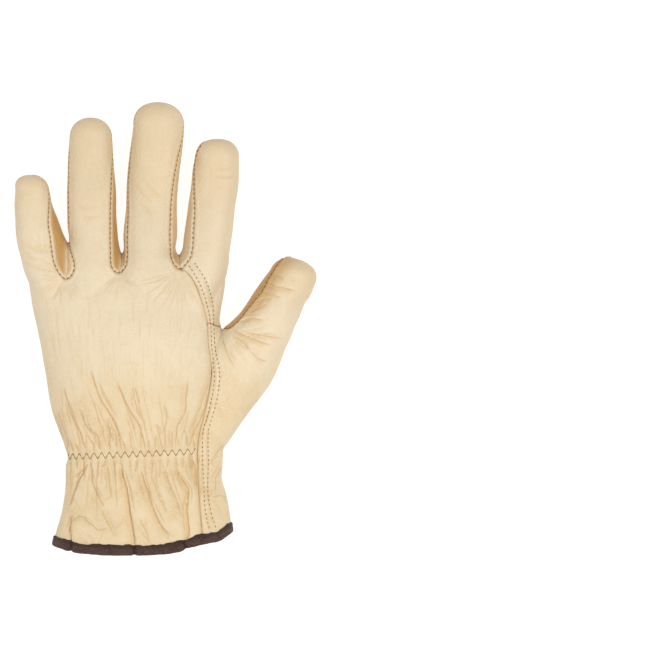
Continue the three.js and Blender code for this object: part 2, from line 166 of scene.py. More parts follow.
# Seams of the back side, seen from above. Columns: x, y
BACK_SEAMS = {
    "little": [
        (-78.5, 89.7), (-73, 88), (-69.6, 84.5), (-67.6, 80), (-67, 74), (-67.2, 60), (-66.1, 52.5),
        (-65, 43.8), (-63.7, 37.5), (-61.7, 32.8), (-59.6, 29.9), (-58.3, 28.6), (-57, 28.1),
    ],
    "ring": [
        (-57, 28.1), (-55.5, 28.5), (-54, 29.8), (-52.5, 32.6), (-52.1, 36.3), (-53, 40), (-54.7, 45),
        (-55.6, 58), (-55.8, 82), (-55.3, 101), (-54.8, 112), (-51.2, 119.8), (-43, 123.2), (-35, 119.8),
        (-31.1, 112.4), (-30.4, 102), (-30.7, 86), (-31.1, 75), (-31.1, 43), (-30.9, 38), (-29.9, 34.2),
        (-28.2, 32.2), (-26.7, 31.7),
    ],
    "middle": [
        (-26.7, 31.7), (-25.2, 32.2), (-23.6, 33.7), (-22.1, 36.5), (-21.6, 41), (-21.7, 50), (-21.3, 64),
        (-21.2, 83), (-19.9, 100), (-19, 110), (-18.7, 115), (-17.3, 121.5), (-13.2, 128.5), (-4, 132.5),
        (5.8, 128.5), (10.3, 121.5), (10.6, 112), (8.7, 103), (5.2, 83.2), (4.1, 74), (3.5, 60),
        (3.5, 48), (4.4, 39), (6, 36), (7.6, 34.3), (9.2, 33.8),
    ],
    "lapped": [
        (9.2, 33.8), (11.8, 32.7), (14.5, 30.2), (18.3, 24.1), (20.9, 17.7), (23.2, 10.7), (25, 3),
        (25.8, -8), (27.5, -25), (26, -37), (22.5, -53), (20, -64), (19.5, -84), (20.5, -100), (24, -136),
    ],
    "thumb": [
        (25, 3), (28.5, 1.5), (31.5, 0.6), (34.3, -0.6), (37, -0.4), (41.9, 3.2), (49.6, 12.5),
        (56.7, 21.8), (59.5, 27.6), (63, 32.8), (66.5, 37.2), (70.5, 41.3),
    ],
}

# Seams of the palm side, seen through the glove from above. Columns: x, y
PALM_SEAMS = {
    "outer_edge": [
        (-78.5, 89.7), (-83.3, 86.5), (-86, 80), (-86.2, 70), (-85.3, 60), (-83, 48.5), (-77.5, 27.5),
        (-71.5, 1.5), (-66, -30.5), (-62.5, -48), (-59, -60), (-56, -67.5), (-53.2, -74.5), (-53, -79),
    ],
    "ring_base": [(-56, 33.5), (-52, 29), (-45.5, 26), (-39, 25.5), (-24.5, 29)],
    "middle_base": [(-24.5, 29), (-6, 29.5), (1, 30), (5.5, 33), (9, 37.5)],
    "thumb": [
        (70.5, 41.3), (75.4, 38), (81.5, 33.5), (84, 29), (83.5, 22), (79.5, 14.5), (72.5, 1), (67, -12.5),
        (61.8, -26), (56.3, -35), (45.5, -48), (35.4, -61), (30.2, -72), (27.5, -84), (27.3, -97),
        (31.5, -136),
    ],
}

# Lines between two fingers, from the root of the gap out through it. Columns: x, y
GAP_LINES = {
    "little_ring": [(-56, 33), (-56, 45.5), (-57.5, 54), (-59.3, 62), (-61, 90), (-62, 150)],
    "ring_middle": [(-25, 36), (-25, 48), (-25, 150)],
    "middle_index": [(9, 37.5), (8, 43), (8, 51), (9.2, 60), (10.3, 71), (12, 90), (13.7, 106), (14, 150)],
}


# Small numeric helpers

def smooth_through(knots, values, where):
    """Smooth curve through the values at the knots, read at the given places."""
    knots, values = np.asarray(knots, float), np.asarray(values, float)
    step = np.diff(knots)[:, None]
    slope = np.diff(values, axis=0) / step
    inner = (slope[:-1] * step[1:] + slope[1:] * step[:-1]) / (step[1:] + step[:-1])
    tangent = np.vstack([slope[:1], inner, slope[-1:]])
    i = np.clip(np.searchsorted(knots, where) - 1, 0, len(knots) - 2)
    t = ((where - knots[i]) / (knots[i + 1] - knots[i]))[:, None]
    h = step[i]
    return (
        values[i] * (1 + 2 * t) * (1 - t) ** 2
        + values[i + 1] * t * t * (3 - 2 * t)
        + tangent[i] * h * t * (1 - t) ** 2
        - tangent[i + 1] * h * t * t * (1 - t)
    )


def run_along(points):
    """How far along its line each point lies."""
    return np.concatenate([[0], np.cumsum(np.linalg.norm(np.diff(points, axis=0), axis=1))])


def read_along(rows, length, where):
    """Rows that are known along a line, read at other places on it."""
    return np.column_stack([np.interp(where, length, column) for column in rows.T])


def curve(points, step=1.0):
    """Smooth line through a few points, with a point about every step."""
    points = np.asarray(points, float)
    length = run_along(points)
    count = max(2, int(round(length[-1] / step)) + 1)
    return smooth_through(length, points, np.linspace(0, length[-1], count))


def ramp(value, start, end):
    """0 at start, 1 at end, and smooth between them."""
    t = np.clip((value - start) / (end - start), 0, 1)
    return t * t * (3 - 2 * t)


def bell(value, middle, width):
    """1 in the middle, falling off on both sides."""
    return np.exp(-(((value - middle) / width) ** 2))


HASH = (374761393, 668265263, 1274126177, 362437, 1103515245)  # factors that scatter whole numbers
BITS = 0x7FFFFFFF


def noise(places, seed):
    """Smooth random numbers from -1 to 1. One cell of the noise is one unit of the places."""
    cell = np.floor(places).astype(np.int64)
    part = places - cell
    part = part * part * (3 - 2 * part)
    total = np.zeros(len(places))
    for corner in np.ndindex(2, 2, 2):
        x, y, z = (cell[:, axis] + corner[axis] for axis in range(3))
        mixed = (x * HASH[0] + y * HASH[1] + z * HASH[2] + seed * HASH[3]) & BITS
        mixed = ((mixed ^ (mixed >> 13)) * HASH[4]) & BITS
        value = ((mixed ^ (mixed >> 16)) & 0xFFFF) / 32767.5 - 1
        weight = np.ones(len(places))
        for axis in range(3):
            weight = weight * (part[:, axis] if corner[axis] else 1 - part[:, axis])
        total += value * weight
    return total


def unit(rows):
    return rows / np.maximum(np.linalg.norm(rows, axis=-1, keepdims=True), 1e-12)


def beside_edge(points, order, heights, a, b, reach):
    """Points that may lie within reach of an edge. order sorts all points by y, and heights are those y.
    Returns their indices, how far along the edge each is, from 0 to 1, and how far off it."""
    low, high = sorted((a[1], b[1]))
    first, last = np.searchsorted(heights, (low - reach, high + reach))
    some = order[first:last]
    some = some[np.abs(points[some, 0] - (a[0] + b[0]) / 2) <= abs(b[0] - a[0]) / 2 + reach]
    edge = b - a
    t = np.clip((points[some] - a) @ edge / max(edge @ edge, 1e-12), 0, 1)
    return some, t, np.linalg.norm(points[some] - a - t[:, None] * edge, axis=1)


def near_line(points, line, reach):
    """Distance from each point to a line, signed to its left where both are plan views, and how far
    along the line its nearest place lies, from 0 to 1. Points further off than reach get reach."""
    line = np.asarray(line, float)
    order = np.argsort(points[:, 1])
    heights = points[order, 1]
    best = np.full(len(points), float(reach))
    along = np.zeros(len(points))
    side = np.ones(len(points))
    for i, (a, b) in enumerate(zip(line[:-1], line[1:])):
        some, t, away = beside_edge(points, order, heights, a, b, reach)
        closer = away < best[some]
        chosen = some[closer]
        best[chosen] = away[closer]
        along[chosen] = (i + t[closer]) / (len(line) - 1)
        if points.shape[1] == 2:
            (edge_x, edge_y), (x, y) = b - a, (points[chosen] - a).T
            side[chosen] = np.where(edge_x * y - edge_y * x < 0, -1, 1)
    return best * side, along


def near_segments(points, starts, ends, reach):
    """Distance from each point to the nearest of many short segments, up to reach."""
    best = np.full(len(points), float(reach))
    order = np.argsort(points[:, 1])
    heights = points[order, 1]
    for a, b in zip(starts, ends):
        some, _, away = beside_edge(points, order, heights, a, b, reach)
        best[some] = np.minimum(best[some], away)
    return best


def inside(points, outline):
    """True for each plan point inside a closed outline."""
    order = np.argsort(points[:, 1])
    heights = points[order, 1]
    crossed = np.zeros(len(points), bool)
    for a, b in zip(outline, np.roll(outline, -1, axis=0)):
        if a[1] == b[1]:
            continue
        low, high = sorted((a[1], b[1]))
        first, last = np.searchsorted(heights, (low, high), side="right")
        some = order[first:last]
        x = a[0] + (points[some, 1] - a[1]) * (b[0] - a[0]) / (b[1] - a[1])
        crossed[some] ^= points[some, 0] < x
    return crossed


# The joined skin of the glove, still smooth and uncut

def section(left, right, crown, sole, press=PRESS):
    """One closed section, as points round it from the right edge over the back."""
    angle = np.linspace(0, 2 * math.pi, AROUND, endpoint=False)
    c, s = np.cos(angle), np.sin(angle)
    power = np.where(s >= 0, BACK_POWER, PALM_POWER)
    across = np.sign(c) * np.abs(c) ** (2 / power)
    rise = np.abs(s) ** (2 / power)
    back = GIRTH_HEIGHT + (crown - GIRTH_HEIGHT) * rise
    palm = np.maximum(sole, GIRTH_HEIGHT - (GIRTH_HEIGHT - sole + press) * rise)
    share = (0.5 + across / 2)[:, None]
    plan = np.asarray(left) * (1 - share) + np.asarray(right) * share
    return np.column_stack([plan, np.where(s >= 0, back, palm)])


def tip_sections(first, tip):
    """Sections that round off a digit, from its tip to its first section."""
    left, right, crown, sole = first[0:2], first[2:4], first[4], first[5]
    middle = (left + right) / 2
    rings = []
    for i in range(TIP_STEPS, 0, -1):
        along = math.sin(math.pi / 2 * i / TIP_STEPS)
        scale = max(TIP_LEAST, (1 - along ** TIP_POWER) ** (1 / TIP_POWER) if along < 1 else 0)
        shift = middle + (np.asarray(tip) - middle) * along
        rings.append(section(
            shift + (left - middle) * scale, shift + (right - middle) * scale,
            GIRTH_HEIGHT + (crown - GIRTH_HEIGHT) * scale, GIRTH_HEIGHT - (GIRTH_HEIGHT - sole) * scale,
            PRESS * scale ** 2.5))
    return rings


def tube_faces(rings, around):
    """Faces between one ring of points and the next, all along a tube."""
    faces = []
    for i in range(rings - 1):
        a, b = i * around, (i + 1) * around
        for j in range(around):
            k = (j + 1) % around
            faces.append((a + j, a + k, b + k, b + j))
    return faces


def loft(rows, tip=None):
    """Closed mesh through sections, given as rows of left x, y, right x, y, crown and sole."""
    rows = np.asarray(rows, float)
    middles = (rows[:, 0:2] + rows[:, 2:4]) / 2
    length = run_along(middles)
    count = int(length[-1] / ALONG)
    fine = smooth_through(length, rows, np.linspace(0, length[-1], count))
    rings = tip_sections(rows[0], tip) if tip else []
    rings += [section(row[0:2], row[2:4], row[4], row[5]) for row in fine]
    points = np.vstack(rings)
    faces = tube_faces(len(rings), AROUND)
    faces.append(tuple(range(AROUND))[::-1])
    faces.append(tuple(range(len(points) - AROUND, len(points))))
    return points, faces


def level_rows(rows):
    """Rows of a table whose sections run straight across, with both ends spelt out."""
    return [(left, y, right, y, crown, sole) for y, left, right, crown, sole in rows]


def mesh_of(name, points, faces):
    """Blender mesh in metres, in the frame, from points in millimetres."""
    mesh = bpy.data.meshes.new(name)
    placed = (np.asarray(points) + ORIGIN_SHIFT) / METRE
    mesh.from_pydata(placed.tolist(), [], [tuple(face) for face in faces])
    return mesh


def object_of(name, data):
    """New object in the scene, of a mesh, a lamp or a camera."""
    made = bpy.data.objects.new(name, data)
    bpy.context.scene.collection.objects.link(made)
    return made


def modified(name, points, faces, kind, **settings):
    """Points and triangles of a mesh after one modifier."""
    rough = object_of(name, mesh_of(name, points, faces))
    modifier = rough.modifiers.new(name, kind)
    for key, value in settings.items():
        setattr(modifier, key, value)
    graph = bpy.context.evaluated_depsgraph_get()
    made = bpy.data.meshes.new_from_object(rough.evaluated_get(graph))
    bpy.data.objects.remove(rough)
    found = np.empty(len(made.vertices) * 3)
    made.vertices.foreach_get("co", found)
    made.calc_loop_triangles()
    corners = np.empty(len(made.loop_triangles) * 3, np.int64)
    made.loop_triangles.foreach_get("vertices", corners)
    bpy.data.meshes.remove(made)
    return found.reshape(-1, 3) * METRE - ORIGIN_SHIFT, corners.reshape(-1, 3)


def joined_skin():
    """Hand, fingers and thumb fused into one closed skin of even, small triangles."""
    lofts = [loft(level_rows(HAND)), loft(THUMB[1], THUMB[0])]
    lofts += [loft(level_rows(rows), tip) for tip, rows in FINGERS.values()]
    points, faces = [], []
    for body_points, body_faces in lofts:
        start = sum(len(p) for p in points)
        faces += [tuple(start + i for i in face) for face in body_faces]
        points.append(body_points)
    return modified(
        "rough_glove", np.vstack(points), faces, "REMESH", mode="VOXEL", voxel_size=VOXEL / METRE)


def face_edges(faces):
    """The three directed edges of every face: all the first ones, all the second ones, all the third."""
    return np.vstack([faces[:, [0, 1]], faces[:, [1, 2]], faces[:, [2, 0]]])


def edges_of(faces):
    """Each edge once, as sorted pairs."""
    return np.unique(np.sort(face_edges(faces), axis=1), axis=0)


def neighbour_mean(points, edges):
    """Mean of the neighbours of each point."""
    count = np.bincount(edges.ravel(), minlength=len(points))
    total = np.empty_like(points)
    for axis in range(points.shape[1]):
        total[:, axis] = (
            np.bincount(edges[:, 0], points[edges[:, 1], axis], len(points))
            + np.bincount(edges[:, 1], points[edges[:, 0], axis], len(points)))
    return total / np.maximum(count, 1)[:, None]


def relaxed(points, faces, rounds, amount=None):
    """Points evened out without shrinking the body. amount from 0 to 1 says how much each may move."""
    edges = edges_of(faces)
    start = points
    for _ in range(rounds):
        for pull in PULLS:
            points = points + pull * (neighbour_mean(points, edges) - points)
    return points if amount is None else start + (points - start) * amount[:, None]


def normals_of(points, faces):
    """Normal of each point, the mean of its faces by area."""
    a, b, c = (points[faces[:, i]] for i in range(3))
    face_normal = np.cross(b - a, c - a)
    total = np.zeros_like(points)
    for axis in range(3):
        for corner in range(3):
            total[:, axis] += np.bincount(faces[:, corner], face_normal[:, axis], len(points))
    return unit(total)


SNAP = 0.22  # share of an edge within which its end is drawn onto a cut


def cut(points, faces, field, labels):
    """Splits every triangle that the line field = 0 crosses. The field is one value for each point.
    Returns the points, faces, labels and which faces lie on the positive side."""
    points, field = points.copy(), field.copy()
    edges = edges_of(faces)
    a, b = edges.T
    share = np.divide(field[a], field[a] - field[b], out=np.full(len(a), 0.5), where=field[a] != field[b])
    crossing = field[a] * field[b] < 0
    place = points[a] + share[:, None] * (points[b] - points[a])
    for end, near in ((a, share < SNAP), (b, share > 1 - SNAP)):
        chosen = crossing & near & (field[end] != 0)
        points[end[chosen]] = place[chosen]
        field[end[chosen]] = 0
    side = np.sign(field)[faces]
    mixed = (side.min(1) < 0) & (side.max(1) > 0)
    work, signs = faces[mixed], side[mixed]
    first = np.argmax(signs == -signs.sum(1, keepdims=True), axis=1)
    work = np.take_along_axis(work, (first[:, None] + np.arange(3)) % 3, axis=1)
    touched = (signs == 0).any(1)
    p, q, r = work.T
    pairs = np.vstack([
        np.column_stack([q, r])[touched], np.column_stack([p, q])[~touched],
        np.column_stack([p, r])[~touched]])
    unique, which = np.unique(np.sort(pairs, axis=1), axis=0, return_inverse=True)
    which = which.ravel() + len(points)
    ua, ub = unique.T
    t = (field[ua] / (field[ua] - field[ub]))[:, None]
    new_points = np.vstack([points, points[ua] * (1 - t) + points[ub] * t])
    new_field = np.concatenate([field, np.zeros(len(unique))])
    n_touched, n_free = touched.sum(), (~touched).sum()
    on_qr = which[:n_touched]
    on_pq, on_pr = which[n_touched:n_touched + n_free], which[n_touched + n_free:]
    pt, qt, rt = p[touched], q[touched], r[touched]
    pf, qf, rf = p[~touched], q[~touched], r[~touched]
    new_faces = np.vstack([
        faces[~mixed],
        np.column_stack([pt, qt, on_qr]), np.column_stack([pt, on_qr, rt]),
        np.column_stack([pf, on_pq, on_pr]), np.column_stack([on_pq, qf, rf]),
        np.column_stack([on_pq, rf, on_pr])])
    old, cut_labels = labels[~mixed], labels[mixed]
    new_labels = np.concatenate([
        old, np.tile(cut_labels[touched], 2), np.tile(cut_labels[~touched], 3)])
    values = new_field[new_faces]
    positive = values[np.arange(len(values)), np.argmax(np.abs(values), axis=1)] > 0
    return new_points, new_faces, new_labels, positive


def hem_field(points):
    """Positive on the finger side of the hem."""
    hem = np.asarray(HEM, float)
    edge = smooth_through(hem[:, 0], hem[:, 1:], np.clip(points[:, 0], hem[0, 0], hem[-1, 0]))[:, 0]
    return points[:, 1] - edge


def vent_field(points):
    """Positive outside the slit in the side of the cuff, which narrows to its top."""
    half = VENT["slit"] / 2 * ramp(VENT["top"] - points[:, 1], -VENT["end"], VENT["taper"])
    field = np.abs(points[:, 2] - VENT["height"]) - half
    beside = (points[:, 0] < VENT["reach"]) & (points[:, 1] < VENT["top"] + VENT["end"])
    return np.where(beside, field, FAR)


def corner_field(points):
    """Positive inside the rounded corners between the hem and the vent."""
    hem, vent, round_by = hem_field(points), vent_field(points), VENT["corner"]
    near = (hem < round_by) & (vent < round_by)
    return np.where(near, round_by - np.hypot(round_by - hem, round_by - vent), FAR)


# Panels, each with an outline on the back side and one on the palm side

PANELS = ["palm_panel", "back_panel", "ring_finger_front", "middle_finger_front", "thumb_panel"]
LITTLE_TIP = [(-79.3, 110), (-78.8, 93)]  # where the outer seam turns over the tip of the little finger
THUMB_TIP = [(77.5, 46), (80, 60)]  # and over the tip of the thumb


def outlines():
    """Closed outlines of every panel but the palm, which is what the others leave."""
    back = {name: curve(line) for name, line in BACK_SEAMS.items()}
    palm = {name: curve(line) for name, line in PALM_SEAMS.items()}
    gap = {name: curve(line) for name, line in GAP_LINES.items()}
    lapped_top = int(np.argmin(np.linalg.norm(back["lapped"] - back["thumb"][0], axis=1)))
    far_left = [(-FAR, -FAR), (-FAR, 110)]
    upper = {
        "back_panel": [back["little"], back["ring"], back["middle"], back["lapped"], [(24, -FAR)],
                       far_left, LITTLE_TIP],
        "ring_finger_front": [[(-57, 27.5)], gap["little_ring"], gap["ring_middle"][::-1], [(-26.5, 31)]],
        "middle_finger_front": [[(-26.5, 31)], gap["ring_middle"], gap["middle_index"][::-1],
                                [(9.5, 33)]],
        "thumb_panel": [back["thumb"], THUMB_TIP, [(FAR, 60), (FAR, -FAR), (24, -FAR)],
                        back["lapped"][:lapped_top:-1]],
    }
    lower = {
        "back_panel": [palm["outer_edge"], [(-53, -FAR)], far_left, LITTLE_TIP],
        "ring_finger_front": [palm["ring_base"][::-1], gap["little_ring"], gap["ring_middle"][::-1]],
        "middle_finger_front": [palm["middle_base"][::-1], gap["ring_middle"], gap["middle_index"][::-1]],
        "thumb_panel": [palm["thumb"], [(31.5, -FAR), (FAR, -FAR), (FAR, 60)], THUMB_TIP[::-1]],
    }
    return [{name: np.vstack(parts) for name, parts in half.items()} for half in (upper, lower)]


def panel_field(points, upper, lower):
    """Positive on a panel. Above the girth its back outline holds, and below it its palm outline."""
    plan = points[:, :2]
    fields = []
    for outline in (upper, lower):
        closed = np.vstack([outline, outline[:1]])
        away, _ = near_line(plan, closed, 4)
        fields.append(np.where(inside(plan, outline), 1, -1) * np.abs(away))
    return np.where(points[:, 2] >= GIRTH_HEIGHT, fields[0], fields[1])


TIP_REACH = 30.0  # how far from a tip its seam is evened
TIP_FADE = 10  # over which the evening dies away before that
TIP_MARGIN = 8  # of skin beyond that is evened too, so that its end doesn't show
TIP_ROUNDS = 60


def evened_at_tips(field, points, faces):
    """The field of a panel, evened over the skin near every tip, so that its seam runs smoothly there."""
    tips = np.array([tip for tip, _ in FINGERS.values()] + [THUMB[0]])
    off = np.linalg.norm(points[:, None, :2] - tips[None], axis=2).min(axis=1)
    near = off < TIP_REACH + TIP_MARGIN
    faces = faces[near[faces].all(axis=1)]
    edges = edges_of(faces)
    plain = np.clip(field, -1.2, 1.2)[:, None]
    even = plain
    for _ in range(TIP_ROUNDS):
        even = np.where(near[:, None], neighbour_mean(even, edges), even)
    share = ramp(off, TIP_REACH, TIP_REACH - TIP_FADE)
    return np.where(near, plain[:, 0] * (1 - share) + even[:, 0] * share, field)


def cut_panels(points, faces):
    """Cuts the skin at the hem, the vent and every seam, and labels each face with its panel."""
    labels = np.zeros(len(faces), int)
    for field in (hem_field, vent_field, corner_field):
        points, faces, labels, keep = cut(points, faces, field(points), labels)
        faces, labels = faces[keep], labels[keep]
    upper, lower = outlines()
    for number, name in enumerate(PANELS[1:], start=1):
        field = panel_field(points, upper[name], lower[name])
        if name in ("back_panel", "thumb_panel"):
            field = evened_at_tips(field, points, faces)
        if name == "back_panel":
            beside_vent = (
                (points[:, 1] < VENT["top"] - 1) & (points[:, 2] < GIRTH_HEIGHT)
                & (points[:, 0] < VENT["reach"]))
            field = np.where(beside_vent, points[:, 2] - VENT["height"], field)
        points, faces, labels, on_panel = cut(points, faces, field, labels)
        labels[on_panel & (labels == 0)] = number
    used, compact = np.unique(faces, return_inverse=True)
    return points[used], compact.reshape(-1, 3), labels


# Seams of the cut skin

SEAM_KINDS = ("plain", "lapped", "base", "outer_edge", "welt", "crotch")


def panel_seams(points, faces, labels):
    """Edges of the seams between panels, for each kind of seam."""
    pairs = np.sort(face_edges(faces), axis=1)
    owner = np.tile(labels, 3)
    order = np.lexsort((pairs[:, 1], pairs[:, 0]))
    pairs, owner = pairs[order], owner[order]
    same = (pairs[1:] == pairs[:-1]).all(1) & (owner[1:] != owner[:-1])
    edge = pairs[:-1][same]
    one, two = np.minimum(owner[:-1], owner[1:])[same], np.maximum(owner[:-1], owner[1:])[same]
    middle = (points[edge[:, 0]] + points[edge[:, 1]]) / 2
    low = middle[:, 2] < GIRTH_HEIGHT
    palm, back, thumb = (PANELS.index(name) for name in ("palm_panel", "back_panel", "thumb_panel"))
    lapped = ~low & ((one == back) | (two == back)) & (middle[:, 0] > 9) & (middle[:, 1] < 33.5)
    kinds = np.full(len(edge), "plain", dtype=object)
    kinds[low & (one == palm) & (two == thumb)] = "welt"
    kinds[low & (one == palm) & (two == back)] = "outer_edge"
    kinds[low & (one == palm) & (two > back) & (two < thumb) & (middle[:, 1] < 36)] = "base"
    kinds[lapped] = "lapped"
    kinds[(kinds == "plain") & (one != back) & (two != back) & (two != thumb)] = "crotch"
    return {kind: edge[kinds == kind] for kind in SEAM_KINDS}


SEAM_REACH = 7.0  # how far a seam shapes the leather beside it
EDGE_ROW = 0.5  # a row of points is laid this far from every seam


# Seams that run inside one panel, seen from above. Columns: x, y
INDEX_SIDE_SEAM = [
    (9.2, 33.8), (10.8, 34.4), (12.3, 36.2), (13.6, 38.3), (15.3, 41), (16.1, 45.5), (16.8, 57),
    (17.3, 68), (17, 78), (16.9, 87), (17.4, 95), (19, 102), (21.5, 106.5),
]


def seam_distances(points, seams, side_seam):
    """Distance from each point to the nearest seam of every kind."""
    ends = {kind: (points[edge[:, 0]], points[edge[:, 1]]) for kind, edge in seams.items()}
    ends["plain"] = (np.vstack([ends["plain"][0], side_seam[:-1]]),
                     np.vstack([ends["plain"][1], side_seam[1:]]))
    return {kind: near_segments(points, *both, SEAM_REACH) for kind, both in ends.items()}


# Folds and creases. Each has a depth, a half width and the points it runs through

FOLDS = [
    (2.4, 2.0, [(-25.5, -79), (-22, -92), (-19.7, -105.3), (-17.4, -116.3), (-16.5, -128)]),
    (1.8, 1.9, [(-13.9, -80.3), (-9.9, -93.7), (-5.8, -105.3), (-1.2, -114.6), (4.1, -120.4)]),
    (0.9, 1.2, [(-41.2, -80), (-41.2, -90.2), (-37.7, -97.7), (-34.2, -103.5)]),
    (1.2, 1.6, [(-43.5, -78), (-48.1, -86.1), (-51.6, -94.3), (-54.5, -103)]),
    (0.8, 1.7, [(-56, -119), (-53.6, -112.5), (-50, -109.3), (-44.5, -110)]),
    (0.6, 1.3, [(-47, -109.8), (-43, -112.8), (-38.5, -116.5), (-33, -116)]),
    (1.5, 1.4, [(-53.2, -108), (-54.5, -116), (-53.5, -126)]),
    (1.9, 1.7, [(5.2, -79), (9.3, -86), (13.7, -92.3), (13.3, -106.2), (14.5, -116.3), (12.5, -127)]),
    (0.8, 1.2, [(0, -80.3), (4.1, -91.9), (8.1, -101.8), (10, -110)]),
    (1.0, 1.4, [(14.5, -72.5), (18.8, -83), (19.4, -92)]),
    (0.7, 1.3, [(-33, -80), (-31.5, -90), (-30, -97)]),
    (0.6, 1.2, [(-8, -84), (-3.5, -96), (2, -107)]),
    (0.7, 1.6, [(-28, -121), (-33, -112), (-37, -104)]),
    (0.6, 1.5, [(-8, -124), (-11, -116), (-14, -110)]),
    (1.0, 2.0, [
        (-42.3, -23.5), (-39.4, -33.4), (-36, -42.6), (-30.2, -51.9), (-26.1, -61.8), (-24.4, -72)]),
    (0.9, 1.9, [(-27.8, -30.5), (-23.2, -40.3), (-19.1, -48.4), (-13.9, -57.7), (-10.4, -72)]),
    (0.85, 1.9, [(-58, -34), (-56.3, -41.5), (-53.1, -51.9), (-49, -60.6), (-45.5, -72)]),
    (0.6, 1.3, [(-18, -34), (-16.2, -44.4), (-13.9, -52.5)]),
    (0.85, 1.7, [(14, -30), (12.8, -40.3), (12.2, -49.6), (8.1, -56.6), (6.4, -70)]),
    (0.85, 1.6, [(24, -46), (22, -51.3), (18, -59.5), (13.9, -70)]),
    (0.7, 1.3, [(-49, -47), (-45, -56), (-38.6, -63), (-37.4, -71)]),
    (0.6, 1.2, [(-33, -52), (-31.4, -61), (-33, -70)]),
    (0.6, 1.2, [(-4, -55), (-3, -63), (-0.5, -71)]),
    (0.5, 1.2, [(0, -44), (1.5, -54), (0, -62)]),
    (0.7, 1.5, [(-62.5, -48), (-59, -58), (-55, -70)]),
    (0.5, 1.3, [(34.5, -68), (29.5, -73), (26.5, -79)]),
    (0.28, 1.2, [(34.5, -80), (30, -86), (29, -95)]),
    (0.22, 1.2, [(38, -101), (33, -97), (28, -98)]),
]

# Faint creases at the joints of the fingers
JOINT_FOLDS = [
    (0.22, 0.9, [(-19, 84), (-12, 78), (-5, 70)]),
    (0.2, 0.9, [(-14, 88), (-6, 80), (2, 74)]),
    (0.2, 0.8, [(-17, 74), (-10, 69), (-6, 62)]),
    (0.2, 0.9, [(-52, 72), (-45, 69), (-37, 71)]),
    (0.16, 0.8, [(-50, 66), (-43, 64), (-36, 66)]),
    (0.25, 0.9, [(41, 94), (36, 91), (30, 92)]),
    (0.2, 0.9, [(42, 88), (36, 86), (27, 88)]),
    (0.2, 0.9, [(-85, 52), (-78, 47), (-70, 45)]),
    (0.22, 0.9, [(-84, 46), (-77, 41), (-70, 39)]),
    (0.2, 0.9, [(-82, 38), (-76, 35), (-68, 34)]),
]

THUMB_FOLDS = [
    (1.0, 1.6, [(56.5, 27.2), (66, 23.6), (77, 20.6)]),
    (0.85, 1.4, [(55, 21), (61, 19.6), (68, 16.8)]),
    (0.7, 1.3, [(48, 8.2), (54, 12), (61, 14)]),
    (1.05, 1.5, [(41.5, 2.6), (49, 5.4), (58.3, 4.2)]),
    (1.35, 1.8, [(38, -0.6), (48, -5.3), (63, -10.6)]),
    (0.8, 1.4, [(45, -1.6), (56, -4.5), (70, -7)]),
    (1.1, 1.6, [(38, -3.9), (44, -7.5), (50, -13.5)]),
    (0.6, 1.3, [(49, -13), (55, -18), (60, -20)]),
    (0.6, 1.4, [(33, -4.8), (35.4, -13), (41, -24)]),
    (0.65, 1.3, [(51.5, 13.5), (57, 16.5), (63, 17)]),
    (0.65, 1.3, [(58, 31), (64, 30), (70, 27.5)]),
]

PALM_FOLDS = [
    (0.9, 1.8, [(2.9, 25.8), (18, 14), (36, 0.3)]),
    (0.6, 1.4, [(25.5, 19.4), (33.6, 8.4)]),
    (1.0, 1.7, [(35.5, -5), (38.3, -18.3), (47, -31.6)]),
    (0.8, 1.5, [(37.5, -7.5), (51.9, -21.8)]),
    (0.7, 1.6, [(29.9, -16), (31.3, -29.3), (41.2, -41.5)]),
    (0.6, 1.6, [(-58, 14), (-40, 19), (-20, 21)]),
    (0.5, 1.5, [(-50, 58), (-42, 57), (-34, 58)]),
    (0.5, 1.5, [(-17, 64), (-8, 63), (1, 64)]),
    (0.5, 1.5, [(18, 58), (26, 57), (35, 58)]),
]

# Fans of fine wrinkles that run out from the root of each gap.
# Columns: x, y, first angle, last angle, inner radius, outer radius, count, depth
FANS = [
    (-58, 31, 150, 255, 3, 22, 13, 0.32),
    (-57, 29, 235, 320, 4, 17, 8, 0.25),
    (-26.5, 31, 215, 325, 4, 19, 11, 0.25),
    (9.5, 33, 195, 318, 4, 30, 17, 0.34),
    (36, -4, 292, 372, 4, 27, 11, 0.34),
    (-70, 40, 60, 130, 2, 17, 7, 0.25),
]

# Puckers of the gathered leather on both sides of the elastic
PUCKER_PITCH = 4.55  # along the leather, from one peak of the zigzag to the next
ZIGZAG_HEIGHT = 4.0
ZIGZAG_RISE = 3.2  # how much higher the zigzag runs at the thumb side
GATHERS = (-56.2, 19.5)  # x from the first gather to the lapped seam


def elastic_y(x):
    """Middle line of the zigzag, which rises a little to the thumb side."""
    return ELASTIC_Y + ZIGZAG_RISE * ((x + 56) / 76 - 0.5)


def girth_arc():
    """Plan places across the back at the elastic, and how far along the leather each lies."""
    at = [row for row in HAND if row[0] == -76][0]
    ring = section((at[1], at[0]), (at[2], at[0]), at[3], at[4])[:AROUND // 2 + 1][::-1]
    length = run_along(ring)
    return ring[:, 0], length


def zigzag_peaks():
    """x of the upper and lower peaks of the zigzag, evenly spaced along the leather."""
    across, length = girth_arc()
    start, end = np.interp([GATHERS[0], GATHERS[1] - 1.5], across, length)
    upper = np.arange(start, end, PUCKER_PITCH)
    return np.interp(upper, length, across), np.interp(upper + PUCKER_PITCH / 2, length, across)


